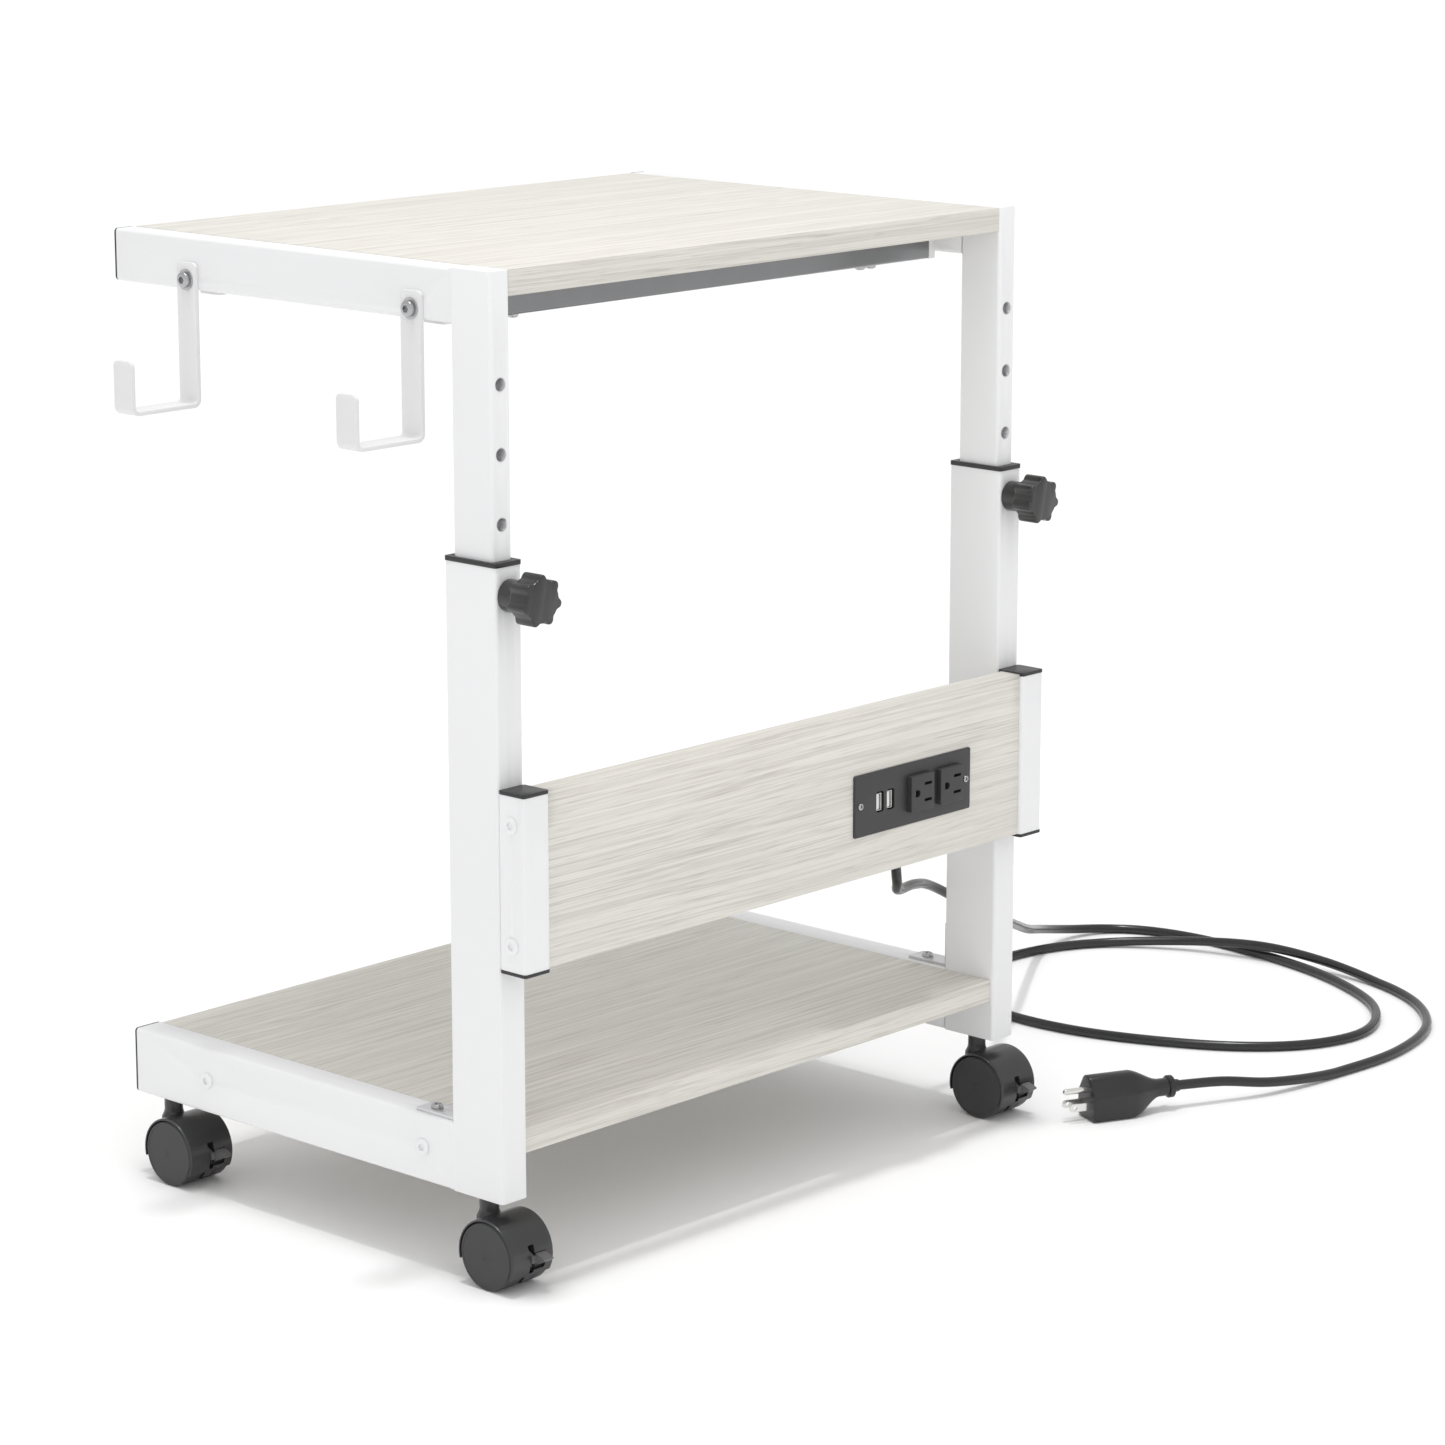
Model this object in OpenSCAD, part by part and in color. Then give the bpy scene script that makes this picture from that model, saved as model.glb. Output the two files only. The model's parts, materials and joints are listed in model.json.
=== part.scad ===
// Mobile computer stand: two telescoping C-shaped side frames joined by a lower
// shelf, a raised top shelf and a front panel with a power unit, on twin-wheel casters.
// X runs across the two side frames, Y from the front legs to the open rear, Z up.

/* [Frame] */
// Width across the outer faces of the two side frames
frame_w = 566; // [480:1:680]
// Depth from the front face of the legs to the rear ends of the rails
frame_d = 393; // [340:1:460]
// Height of the outer legs above the underside of the base rails
leg_h = 454; // [420:1:500]
// Height of the top shelf above the underside of the base rails
top_h = 655; // [620:1:700]
// Thickness of the outer leg and base rail tube, across the stand
tube_x = 25; // [24:0.5:30]
// Depth of the outer leg tube, and height of the base rail tube
tube_y = 50; // [46:0.5:60]
// Thickness of the upper leg and top rail tube, across the stand
inner_x = 19; // [17:0.5:19.5]
// Depth of the upper leg tube, and height of the top rail tube
inner_y = 38; // [34:0.5:39]
// Wall of every steel tube
wall = 1.5; // [1.2:0.1:2]
// Outside corner radius of the steel tubes
tube_r = 2.5; // [2:0.1:4]
// Thickness of the two shelves and of the front panel
board_t = 18; // [15:0.5:18]

/* [Height adjustment] */
// Distance between the index holes in the upper legs
hole_pitch = 48; // [40:1:50]
// Diameter of the index holes
hole_d = 10; // [9:0.5:12]
// Drop of the clamping knob below the top of the outer leg
knob_drop = 20; // [20:0.5:30]
// Number of lobes on a clamping knob
knob_lobes = 7; // [5:1:9]
// Diameter over the knob's lobes
knob_d = 37; // [32:1:44]

/* [Front panel] */
// Height of the panel posts' lower end above the underside of the base rails
post_z = 169.5; // [120:0.5:180]
// Height of the panel posts with their caps
post_h = 130; // [120:1:150]
// Side of the square panel post tube
post_w = 25; // [22:0.5:30]
// Distance of the power unit's centre from the left side frame
power_x = 413.5; // [200:0.5:420]
// Width of the power unit's faceplate
plate_w = 134; // [130:1:150]
// Height of the power unit's faceplate
plate_h = 47.5; // [44:0.5:56]

/* [Hooks] */
// Width of the flat steel of a hook
hook_w = 20; // [16:1:24]
// Reach of a hook from the top rail's outer face
hook_reach = 64; // [45:1:80]
// Height of a hook from its seat's underside to its upper end
hook_h = 104; // [80:1:110]
// Height of a hook's upturned tip
hook_tip = 39; // [25:1:50]

/* [Casters] */
// Diameter of a caster wheel
wheel_d = 50; // [45:1:60]
// Drop of the caster axle below the base rails
axle_drop = 38.5; // [36:0.5:45]
// Trail of the caster axle behind its swivel axis
trail = 16; // [14:0.5:20]
// Width over the two wheels of a caster
caster_w = 41; // [38:0.5:46]

/* [Power cord] */
// Diameter of the power cord
cord_d = 8; // [7:0.1:9]

/* [Hidden] */
$fn = 48;
base_z = wheel_d / 2 + axle_drop;
skin = 0.3;              // gap between pieces that move past each other
inner_gap_x = (tube_x - inner_x) / 2;
inner_gap_y = (tube_y - inner_y) / 2;
top_z = base_z + top_h;
rail_top_z = base_z + tube_y;
knob_z = base_z + leg_h - knob_drop;
holes_above = 3;
holes_below = 2;
inner_z = base_z + 250;
board_drop = 0.5;        // lower shelf below the top of the base rails
lower_board_y = 3;
upper_board_y = inner_gap_y + 1;
cap_t = 2;
bolt_y = [80, frame_d - 80];
hole_x = tube_x / 2;
// bolts and washers
bolt_d = 6;
bolt_head_d = 11.5;
bolt_head_h = 3.5;
washer_d = 15;
washer_t = 1.2;
base_head_h = 2;
// cross bars under the shelves
bar_y = 20;
bar_z = 25;
bar_end = 7;
base_bar_h = 12;
top_bolt_z = top_z - board_t - bar_z / 2;
base_bolt_z = rail_top_z - board_drop - board_t - base_bar_h / 2;
// hooks
hook_t = 3;
hook_r = 3;
hook_top_z = top_z - board_t;
// knob
hub_d = 23;
hub_h = 15;
head_h = 18;
stud_d = 8;
stud_tip_y = inner_gap_y - skin;
// panel
panel_y = -post_w + 3;
panel_z = base_z + post_z + 2.5;
panel_h = post_h - 3.5;
screw_z = [base_z + post_z + 21, base_z + post_z + 107];
plate_t = 2;
plate_y = panel_y - plate_t;
plate_screw_x = plate_w / 2 - 6;
power_z = base_z + post_z + 58.5;
housing_w = 118;
housing_h = 39;
housing_y1 = 38;
outlet_w = 26.5;
outlet_h = 28;
outlet_pitch = 34.2;
outlet_x0 = power_x + 6;
outlet_front = plate_y - 4.5;
usb_x0 = power_x - 39.5;
usb_pitch = 12;
// casters
swivel_y = [26, frame_d - 26];
hood_r = wheel_d / 2 + 2.2;
hood_in = wheel_d / 2 + 0.6;
web = 7;
wheel_gap = 0.5;
axle_d = 5;
stem_d = 11;
socket_h = 30;
neck_d = 14;
lever_pin_d = 3;
lever_py = -15;
lever_pz = 5;
stem_foot = hood_r * 0.9;   // lower end of the stem, above the axle
// extents without the cord, which put the origin under the middle of the stand
x_lo = inner_gap_x - hook_reach;
x_hi = frame_w - hole_x + caster_w / 2;
y_lo = -hub_h - head_h - skin;
y_hi = frame_d + cap_t;

// Cord route from the strain relief to the plug, in the frame's own coordinates
cord_route = [
    [445, 20, 252], [445, 20, 238], [449, 23, 220], [460, 31, 203], [478, 45, 191],
    [520, 64, 184], [560, 80, 172], [620, 88, 142], [700, 125, 110], [790, 176, 75],
    [870, 228, 46], [940, 270, 24], [1000, 285, 9], [1044, 266, 4], [1066, 215, 4],
    [1067, 140, 4], [1048, 45, 4], [1010, -32, 4], [965, -73, 4], [915, -88, 4],
    [862, -72, 4], [818, -30, 4], [784, 35, 4], [765, 100, 4], [764, 165, 4],
    [786, 225, 4], [842, 268, 4], [920, 277, 4], [992, 250, 4], [1038, 190, 8],
    [1059, 120, 13], [1066, 55, 10], [1058, -12, 4], [1025, -75, 4], [970, -120, 4],
    [895, -140, 4], [815, -137, 4], [745, -126, 10], [700, -108, 17], [664, -91, 18.5]];
plug_at = cord_route[len(cord_route) - 1];
plug_turn = 155;
plug_relief = 20;
plug_len = 62;
cord_sides = 10;

// ---- placing helpers ----

// Moves the frame's own coordinates so that the origin lies under the middle of the stand
module place() {
    translate([-(x_lo + x_hi) / 2, -(y_lo + y_hi) / 2, 0]) children();
}

// Makes the left-hand shape and its mirror image on the right-hand side frame
module both_sides() {
    children();
    right_side() children();
}

module right_side() {
    translate([frame_w, 0, 0]) mirror([1, 0, 0]) children();
}

// ---- shape helpers ----

module rounded_rect(w, h, r) {
    translate([r, 0]) square([w - 2 * r, h]);
    translate([0, r]) square([w, h - 2 * r]);
    for (x = [r, w - r], y = [r, h - r]) translate([x, y]) circle(r);
}

module tube_profile(w, h) {
    difference() {
        rounded_rect(w, h, tube_r);
        translate([wall, wall]) rounded_rect(w - 2 * wall, h - 2 * wall, tube_r - wall);
    }
}

// Tube standing on its end, with its left front corner at the origin
module tube_up(w, d, length) {
    linear_extrude(length) tube_profile(w, d);
}

// Tube that runs along Y
module tube_back(w, h, length) {
    translate([0, 0, h]) rotate([-90, 0, 0]) linear_extrude(length) tube_profile(w, h);
}

// Tube that runs along X
module tube_across(d, h, length) {
    rotate([90, 0, 90]) linear_extrude(length) tube_profile(d, h);
}

module rod_x(d, length) {
    rotate([0, 90, 0]) cylinder(d = d, h = length);
}

module rod_y(d, length) {
    rotate([-90, 0, 0]) cylinder(d = d, h = length);
}

// Two-part plug for the open end of a tube that runs along Y
module rear_cap(w, h) {
    rotate([-90, 0, 0]) translate([0, -h, 0]) {
        linear_extrude(cap_t) rounded_rect(w, h, tube_r + 0.5);
        translate([wall, wall, -10]) linear_extrude(10)
            rounded_rect(w - 2 * wall, h - 2 * wall, tube_r - wall);
    }
}

// ---- base frame ----

module lower_leg() {
    difference() {
        translate([0, 0, base_z]) tube_up(tube_x, tube_y, leg_h);
        translate([hole_x, -1, knob_z]) rod_y(11, wall + 2);
        translate([hole_x, tube_y - wall - 1, rail_top_z + 26]) rod_y(4.04, wall + 2);
    }
}

module lower_legs() {
    color("white") place() both_sides() lower_leg();
}

module base_rail() {
    difference() {
        translate([0, tube_y, base_z]) tube_back(tube_x, tube_y, frame_d - tube_y);
        for (y = bolt_y) translate([-1, y, base_bolt_z]) rod_x(bolt_d + 0.04, tube_x + 2);
        translate([hole_x, swivel_y[1], base_z - 1]) cylinder(d = 15, h = wall + 2);
        translate([hole_x, tube_y + 28, rail_top_z - wall - 1]) cylinder(d = 4.04, h = wall + 2);
    }
}

module base_rails() {
    color("white") place() both_sides() base_rail();
}

module guide_collar() {
    rim = 0.4;
    rim_h = 3.2;
    sleeve = 12;
    difference() {
        union() {
            translate([-rim, -rim, base_z + leg_h]) linear_extrude(rim_h)
                rounded_rect(tube_x + 2 * rim, tube_y + 2 * rim, tube_r);
            translate([wall, wall, base_z + leg_h - sleeve]) linear_extrude(sleeve)
                rounded_rect(tube_x - 2 * wall, tube_y - 2 * wall, tube_r - wall);
        }
        translate([inner_gap_x - skin, inner_gap_y - skin, base_z + leg_h - sleeve - 1])
            linear_extrude(sleeve + rim_h + 2)
                rounded_rect(inner_x + 2 * skin, inner_y + 2 * skin, tube_r);
    }
}

module guide_collars() {
    color("black") place() both_sides() guide_collar();
}

module base_rail_caps() {
    color("black") place() both_sides()
        translate([0, frame_d, base_z]) rear_cap(tube_x, tube_y);
}

module bottom_board() {
    color("linen") place() translate([tube_x, lower_board_y, rail_top_z - board_drop - board_t])
        cube([frame_w - 2 * tube_x, frame_d - lower_board_y, board_t]);
}

// Folded channel, open underneath, with a solid block in each end for its bolt
module base_crossbars() {
    end_block = 30;
    color("white") place() for (y = bolt_y)
        difference() {
            translate([tube_x, y - bar_z / 2, base_bolt_z - base_bar_h / 2])
                cube([frame_w - 2 * tube_x, bar_z, base_bar_h]);
            translate([tube_x - 1, y, base_bolt_z]) rod_x(bolt_d + 0.04, end_block - 4);
            translate([frame_w - tube_x - end_block + 5, y, base_bolt_z])
                rod_x(bolt_d + 0.04, end_block - 4);
            translate([tube_x + end_block, y - bar_z / 2 + wall, base_bolt_z - base_bar_h / 2 - 1])
                cube([frame_w - 2 * (tube_x + end_block), bar_z - 2 * wall, base_bar_h - wall + 1]);
        }
}

module base_bolts() {
    color("white") place() both_sides() for (y = bolt_y)
        translate([0, y, base_bolt_z]) {
            difference() {
                translate([-base_head_h, 0, 0]) rod_x(12, base_head_h);
                translate([-base_head_h - 1, 0, 0]) rotate([0, 90, 0]) cylinder(d = 4.6, h = 2.2, $fn = 6);
            }
            rod_x(bolt_d, tube_x + 20);
        }
}

module corner_brace() {
    brace_w = 18;
    brace_t = 2.5;
    arm_up = 36;
    arm_back = 40;
    translate([(tube_x - brace_w) / 2, tube_y, rail_top_z]) difference() {
        union() {
            cube([brace_w, brace_t, arm_up]);
            cube([brace_w, arm_back, brace_t]);
        }
        translate([brace_w / 2, -1, 26]) rod_y(4.4, brace_t + 2);
        translate([brace_w / 2, 28, -1]) cylinder(d = 4.4, h = brace_t + 2);
    }
}

module corner_braces() {
    color("whitesmoke") place() both_sides() corner_brace();
}

// Cross-head screw with its head's underside at the origin and its shank along -Z
module pan_screw(shank_d, head_d, head_h, length) {
    difference() {
        union() {
            cylinder(d = head_d, h = head_h * 0.6);
            translate([0, 0, head_h * 0.6]) cylinder(d1 = head_d, d2 = head_d * 0.7, h = head_h * 0.4);
        }
        for (turn = [0, 90]) rotate([0, 0, turn])
            translate([-head_d * 0.3, -head_d * 0.06, head_h * 0.4])
                cube([head_d * 0.6, head_d * 0.12, head_h]);
    }
    translate([0, 0, -length]) cylinder(d = shank_d, h = length);
}

module brace_screws() {
    color("silver") place() both_sides() {
        translate([hole_x, tube_y + 2.5, rail_top_z + 26]) rotate([-90, 0, 0]) pan_screw(4, 9, 3, 8);
        translate([hole_x, tube_y + 28, rail_top_z + 2.5]) pan_screw(4, 9, 3, 12);
    }
}

module knob_bush() {
    nut_y = wall;
    translate([hole_x, 0, knob_z]) difference() {
        union() {
            rod_y(11, wall);
            translate([0, nut_y, 0]) rod_y(14, 3.8);
        }
        translate([0, -1, 0]) rod_y(stud_d + 0.1, 10);
    }
}

module knob_bushes() {
    color("silver") place() both_sides() knob_bush();
}

module caster_socket(rear) {
    bore = stem_d + 0.1;
    y = swivel_y[rear];
    difference() {
        if (rear == 1)
            translate([hole_x, y, base_z]) cylinder(d = 15, h = socket_h);
        else
            translate([wall, wall, base_z]) linear_extrude(socket_h)
                rounded_rect(tube_x - 2 * wall, tube_y - 2 * wall, tube_r - wall);
        translate([hole_x, y, base_z - 1]) cylinder(d = bore, h = socket_h - 1);
    }
}

module caster_sockets() {
    color("dimgray") place() both_sides() for (rear = [0, 1]) caster_socket(rear);
}

// ---- front panel and power unit ----

module panel_post() {
    translate([0, -post_w, base_z + post_z + 2.5]) difference() {
        tube_up(post_w, post_w, post_h - 5);
        for (z = screw_z) translate([-1, post_w / 2, z - base_z - post_z - 2.5])
            rod_x(4.04, post_w + 2);
    }
}

module panel_posts() {
    color("white") place() both_sides() panel_post();
}

module panel_post_cap() {
    rim = 0.3;
    translate([-rim, -post_w - rim, 0]) linear_extrude(2.5)
        rounded_rect(post_w + rim, post_w + rim, tube_r);
}

module panel_post_caps() {
    color("black") place() both_sides() {
        translate([0, 0, base_z + post_z]) panel_post_cap();
        translate([0, 0, base_z + post_z + post_h - 2.5]) panel_post_cap();
    }
}

module front_panel() {
    color("linen") place() difference() {
        translate([tube_x, panel_y, panel_z]) cube([frame_w - 2 * tube_x, board_t, panel_h]);
        translate([power_x - housing_w / 2, panel_y - 1, power_z - housing_h / 2])
            cube([housing_w, board_t + 2, housing_h]);
        for (z = screw_z) {
            translate([tube_x - 1, -post_w / 2, z]) rod_x(4.04, 27);
            translate([frame_w - tube_x - 26, -post_w / 2, z]) rod_x(4.04, 27);
        }
        for (side = [-1, 1]) translate([power_x + side * plate_screw_x, panel_y - 1, power_z])
            rod_y(2.44, 11);
    }
}

module panel_screws() {
    color("white") place() both_sides() for (z = screw_z)
        translate([0, -post_w / 2, z]) {
            translate([-1.5, 0, 0]) rod_x(12, 1.5);
            rod_x(4, tube_x + 22);
        }
}

module outlet_centres() {
    for (i = [0, 1]) translate([outlet_x0 + i * outlet_pitch, 0, power_z]) children();
}

module usb_centres() {
    for (i = [0, 1]) translate([usb_x0 + i * usb_pitch, 0, power_z]) children();
}

module power_faceplate() {
    color("darkslategray") place() difference() {
        translate([power_x - plate_w / 2, plate_y, power_z - plate_h / 2]) cube([plate_w, plate_t, plate_h]);
        outlet_centres() translate([-outlet_w / 2, plate_y - 1, -outlet_h / 2])
            cube([outlet_w, plate_t + 2, outlet_h]);
        usb_centres() translate([-2.95, plate_y - 1, -6.75]) cube([5.9, plate_t + 2, 13.5]);
        for (side = [-1, 1]) translate([power_x + side * plate_screw_x, plate_y - 1, power_z])
            rod_y(2.7, plate_t + 2);
    }
}

module power_housing() {
    shell = 1.5;
    color("black") place() difference() {
        translate([power_x - housing_w / 2, panel_y, power_z - housing_h / 2])
            cube([housing_w, housing_y1 - panel_y, housing_h]);
        translate([power_x - housing_w / 2 + shell, panel_y - 1, power_z - housing_h / 2 + shell])
            cube([housing_w - 2 * shell, housing_y1 - panel_y + 1 - shell, housing_h - 2 * shell]);
    }
}

// Receptacle face: two blade slots one above the other and an earth hole to their left
module outlet_blocks() {
    color("darkslategray") place() outlet_centres() difference() {
        translate([-outlet_w / 2, outlet_front, -outlet_h / 2]) cube([outlet_w, 20, outlet_h]);
        for (z = [-6.35, 6.35]) translate([6 - 4.2, outlet_front - 1, z - 1.1]) cube([8.4, 18, 2.2]);
        translate([-5.9, outlet_front - 1, 0]) rod_y(5.4, 18);
    }
}

module outlet_contacts() {
    back = outlet_front + 20;
    color("gold") place() outlet_centres() {
        for (z = [-6.35, 6.35]) translate([6 - 4, back, z - 2]) cube([8, 8, 4]);
        translate([-5.9, back, 0]) rod_y(7, 8);
    }
}

module usb_shells() {
    color("silver") place() usb_centres() difference() {
        translate([-2.9, plate_y - 0.3, -6.7]) cube([5.8, 14, 13.4]);
        translate([-2.55, plate_y - 1, -6.25]) cube([5.1, 13, 12.5]);
    }
}

module usb_tongues() {
    color("white") place() usb_centres()
        translate([-1.4, plate_y + 0.8, -5.6]) cube([1.9, 11.2, 11.2]);
}

module faceplate_screws() {
    color("silver") place() for (side = [-1, 1])
        translate([power_x + side * plate_screw_x, plate_y, power_z])
            rotate([90, 0, 0]) pan_screw(2.4, 5.4, 1.4, 11);
}

module cord_strain_relief() {
    length = power_z - housing_h / 2 - cord_route[0][2];
    rib_h = 1.6;
    color("black") place() translate(cord_route[0]) {
        cylinder(d1 = cord_d + 1.6, d2 = cord_d + 4, h = length);
        for (k = [0:3]) translate([0, 0, 1 + k * length / 5]) cylinder(d = cord_d + 3.4 + 0.6 * k, h = rib_h);
    }
}

// ---- cord ----

function spline_point(p, i, t) =
    let (n = len(p) - 1, a = p[max(i - 1, 0)], b = p[i], c = p[min(i + 1, n)], d = p[min(i + 2, n)])
    0.5 * (2 * b + (c - a) * t + (2 * a - 5 * b + 4 * c - d) * t * t + (3 * b - a - 3 * c + d) * t * t * t);

function unit(v) = v / norm(v);

// The cord's centre stays its own radius above the floor
function above_floor(p) = [p[0], p[1], max(p[2], cord_d / 2)];

cord_line = concat([for (i = [0:len(cord_route) - 2], t = [0, 0.5])
                       above_floor(spline_point(cord_route, i, t))],
                   [plug_at]);

function cord_tangent(i) =
    i == 0 ? [0, 0, -1]
    : i == len(cord_line) - 1 ? [cos(plug_turn), sin(plug_turn), 0]
    : unit(cord_line[i + 1] - cord_line[i - 1]);

module power_cord() {
    rings = len(cord_line);
    points = [for (i = [0:rings - 1])
        let (t = cord_tangent(i), u = unit(cross(t, [1, 0, 1])), v = cross(t, u))
        for (k = [0:cord_sides - 1])
            cord_line[i] + cord_d / 2 * (cos(360 * k / cord_sides) * u + sin(360 * k / cord_sides) * v)];
    sides = [for (i = [0:rings - 2], k = [0:cord_sides - 1])
        let (n = (k + 1) % cord_sides, a = i * cord_sides)
        each [[a + k, a + n, a + cord_sides + n], [a + k, a + cord_sides + n, a + cord_sides + k]]];
    first = [[for (k = [cord_sides - 1:-1:0]) k]];
    last = [[for (k = [0:cord_sides - 1]) (rings - 1) * cord_sides + k]];
    color("black") place() polyhedron(points = points, faces = concat(first, sides, last));
}

// Plug's own frame: X along its blades from the end of the cord, earth pin uppermost
module plug_place() {
    translate(plug_at) rotate([0, 0, plug_turn]) children();
}

module plug_body() {
    half_w = 14;
    half_h = 17;
    neck = 14.5;
    slope = 28;
    color("black") place() plug_place() {
        rod_x(cord_d + 3, 6);
        translate([6, 0, 0]) rod_x(18, 5);
        translate([11, 0, 0]) rod_x(neck, plug_relief - 11);
        hull() {
            translate([plug_relief, 0, 0]) rod_x(neck, 2);
            translate([plug_relief + slope - 2, -half_w, -half_h]) cube([2, 2 * half_w, 2 * half_h]);
        }
        translate([plug_relief + slope, -half_w, -half_h])
            cube([plug_len - slope, 2 * half_w, 2 * half_h]);
    }
}

module plug_blades() {
    x0 = plug_relief + plug_len;
    color("silver") place() plug_place() {
        for (y = [-6.35, 6.35]) translate([x0, y - 0.75, -11.9 / 2 - 3.2]) difference() {
            cube([17.5, 1.5, 6.4]);
            translate([13, -1, 3.2]) rod_y(3.2, 4);
        }
        translate([x0, 0, 11.9 / 2]) {
            rod_x(4.8, 18.5);
            translate([18.5, 0, 0]) rotate([0, 90, 0]) cylinder(d1 = 4.8, d2 = 2.4, h = 2);
        }
    }
}

// ---- upper frame ----

module upper_leg() {
    difference() {
        translate([inner_gap_x, inner_gap_y, inner_z]) {
            tube_up(inner_x, inner_y, top_z - inner_z);
            translate([0, 0, top_z - inner_z - wall]) linear_extrude(wall)
                rounded_rect(inner_x, inner_y, tube_r);
        }
        for (k = [-holes_below:holes_above])
            translate([hole_x, inner_gap_y - 1, knob_z + k * hole_pitch]) rod_y(hole_d, wall + 2);
    }
}

module upper_legs() {
    color("white") place() both_sides() upper_leg();
}

module top_rail() {
    start = inner_gap_y + inner_y;
    difference() {
        translate([inner_gap_x, start, top_z - inner_y]) tube_back(inner_x, inner_y, frame_d - start);
        for (y = bolt_y) translate([0, y, top_bolt_z]) rod_x(bolt_d + 0.04, tube_x);
    }
}

module top_rails() {
    color("white") place() both_sides() top_rail();
}

module top_rail_caps() {
    color("black") place() both_sides()
        translate([inner_gap_x, frame_d, top_z - inner_y]) rear_cap(inner_x, inner_y);
}

module top_board() {
    side = inner_gap_x + inner_x;
    color("linen") place() difference() {
        translate([side, upper_board_y, top_z - board_t])
            cube([frame_w - 2 * side, frame_d - upper_board_y, board_t]);
        crossbar_screw_places() translate([0, 0, bar_z]) cylinder(d = 4.04, h = 13);
    }
}

// Screw axes through the cross bars, at the bars' underside
module crossbar_screw_places() {
    for (y = bolt_y, x = [86, 98, frame_w - 98, frame_w - 86])
        translate([x, y, top_z - board_t - bar_z]) children();
}

module top_crossbars() {
    start = inner_gap_x + inner_x + bar_end;
    color("darkgray") place() difference() {
        for (y = bolt_y) translate([start, y - bar_y / 2, top_z - board_t - bar_z])
            tube_across(bar_y, bar_z, frame_w - 2 * start);
        crossbar_screw_places() translate([0, 0, -1]) cylinder(d = 4.04, h = bar_z + 2);
    }
}

module crossbar_ends() {
    start = inner_gap_x + inner_x;
    plug = 14;
    color("whitesmoke") place() both_sides() for (y = bolt_y)
        difference() {
            union() {
                translate([start, y - bar_y / 2, top_z - board_t - bar_z]) cube([bar_end, bar_y, bar_z]);
                translate([start + bar_end, y - bar_y / 2 + wall, top_z - board_t - bar_z + wall])
                    rotate([90, 0, 90]) linear_extrude(plug)
                        rounded_rect(bar_y - 2 * wall, bar_z - 2 * wall, tube_r - wall);
            }
            translate([start - 1, y, top_bolt_z]) rod_x(bolt_d + 0.04, plug + bar_end);
        }
}

module crossbar_screws() {
    color("silver") place() crossbar_screw_places()
        mirror([0, 0, 1]) pan_screw(4, 8.5, 3.2, bar_z + 12);
}

// Plate of the hook's flat steel in the YZ plane, rounded at its upper end
module hook_plate(height) {
    r = 4;
    rotate([90, 0, 90]) linear_extrude(hook_t) {
        square([hook_w, height - r]);
        translate([r, 0]) square([hook_w - 2 * r, height]);
        for (y = [r, hook_w - r]) translate([y, height - r]) circle(r);
    }
}

// Quarter bend of the hook's flat steel about an axis along Y, from +X round to +Z
module hook_bend() {
    rotate([90, 0, 0]) mirror([0, 0, 1]) rotate_extrude(angle = -90)
        translate([hook_r, 0]) square([hook_t, hook_w]);
}

module accessory_hook() {
    bend = hook_r + hook_t;
    arm = hook_reach - 2 * bend;
    difference() {
        translate([inner_gap_x - bend, 0, hook_top_z - hook_h + bend]) {
            translate([hook_r, 0, 0]) hook_plate(hook_h - bend);
            hook_bend();
            translate([-arm, 0, -bend]) cube([arm, hook_w, hook_t]);
            translate([-arm, hook_w, 0]) rotate([0, 0, 180]) hook_bend();
            translate([-arm - bend, 0, 0]) hook_plate(hook_tip - bend);
        }
        translate([inner_gap_x - hook_t - 1, hook_w / 2, top_bolt_z]) rod_x(6.6, hook_t + 2);
    }
}

module accessory_hooks() {
    color("whitesmoke") place() for (y = bolt_y) translate([0, y - hook_w / 2, 0]) accessory_hook();
}

// Socket-head bolt and its washer, on the face at seat_x
module socket_bolt(seat_x) {
    translate([seat_x, 0, 0]) {
        difference() {
            translate([-washer_t, 0, 0]) rod_x(washer_d, washer_t);
            translate([-washer_t - 1, 0, 0]) rod_x(bolt_d + 0.04, washer_t + 2);
        }
        translate([-washer_t - bolt_head_h, 0, 0]) difference() {
            rod_x(bolt_head_d, bolt_head_h);
            translate([-1, 0, 0]) rotate([0, 90, 0]) cylinder(d = 4.6, h = 3.4, $fn = 6);
        }
        translate([-washer_t, 0, 0]) rod_x(bolt_d, inner_gap_x + inner_x + 16 - seat_x + washer_t);
    }
}

module hook_bolts() {
    color("silver") place() for (y = bolt_y) translate([0, y, top_bolt_z]) {
        socket_bolt(inner_gap_x - hook_t);
        right_side() socket_bolt(inner_gap_x);
    }
}

module inner_leg_glide() {
    fit = wall + skin;
    flange = 6;
    translate([fit, fit, inner_z - flange]) linear_extrude(flange)
        rounded_rect(tube_x - 2 * fit, tube_y - 2 * fit, 1);
    translate([inner_gap_x + wall, inner_gap_y + wall, inner_z]) linear_extrude(12)
        rounded_rect(inner_x - 2 * wall, inner_y - 2 * wall, tube_r - wall);
}

module inner_leg_glides() {
    color("dimgray") place() both_sides() inner_leg_glide();
}

// ---- clamping knobs ----

module knob_grip() {
    lobe_d = 9;
    translate([hole_x, -skin, knob_z]) rotate([90, 0, 0]) difference() {
        union() {
            cylinder(d = hub_d, h = hub_h);
            translate([0, 0, hub_h]) {
                cylinder(d = knob_d - 6, h = head_h);
                for (k = [0:knob_lobes - 1]) rotate([0, 0, 90 + 360 * k / knob_lobes])
                    translate([(knob_d - lobe_d) / 2, 0, 0]) cylinder(d = lobe_d, h = head_h);
            }
        }
        translate([0, 0, -1]) cylinder(d = stud_d + 0.1, h = hub_h + 11);
    }
}

module knob_stud() {
    translate([hole_x, -hub_h - 9, knob_z]) rod_y(stud_d, hub_h + 9 + stud_tip_y);
}

module left_knob_grip() {
    color("black") place() knob_grip();
}

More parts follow.
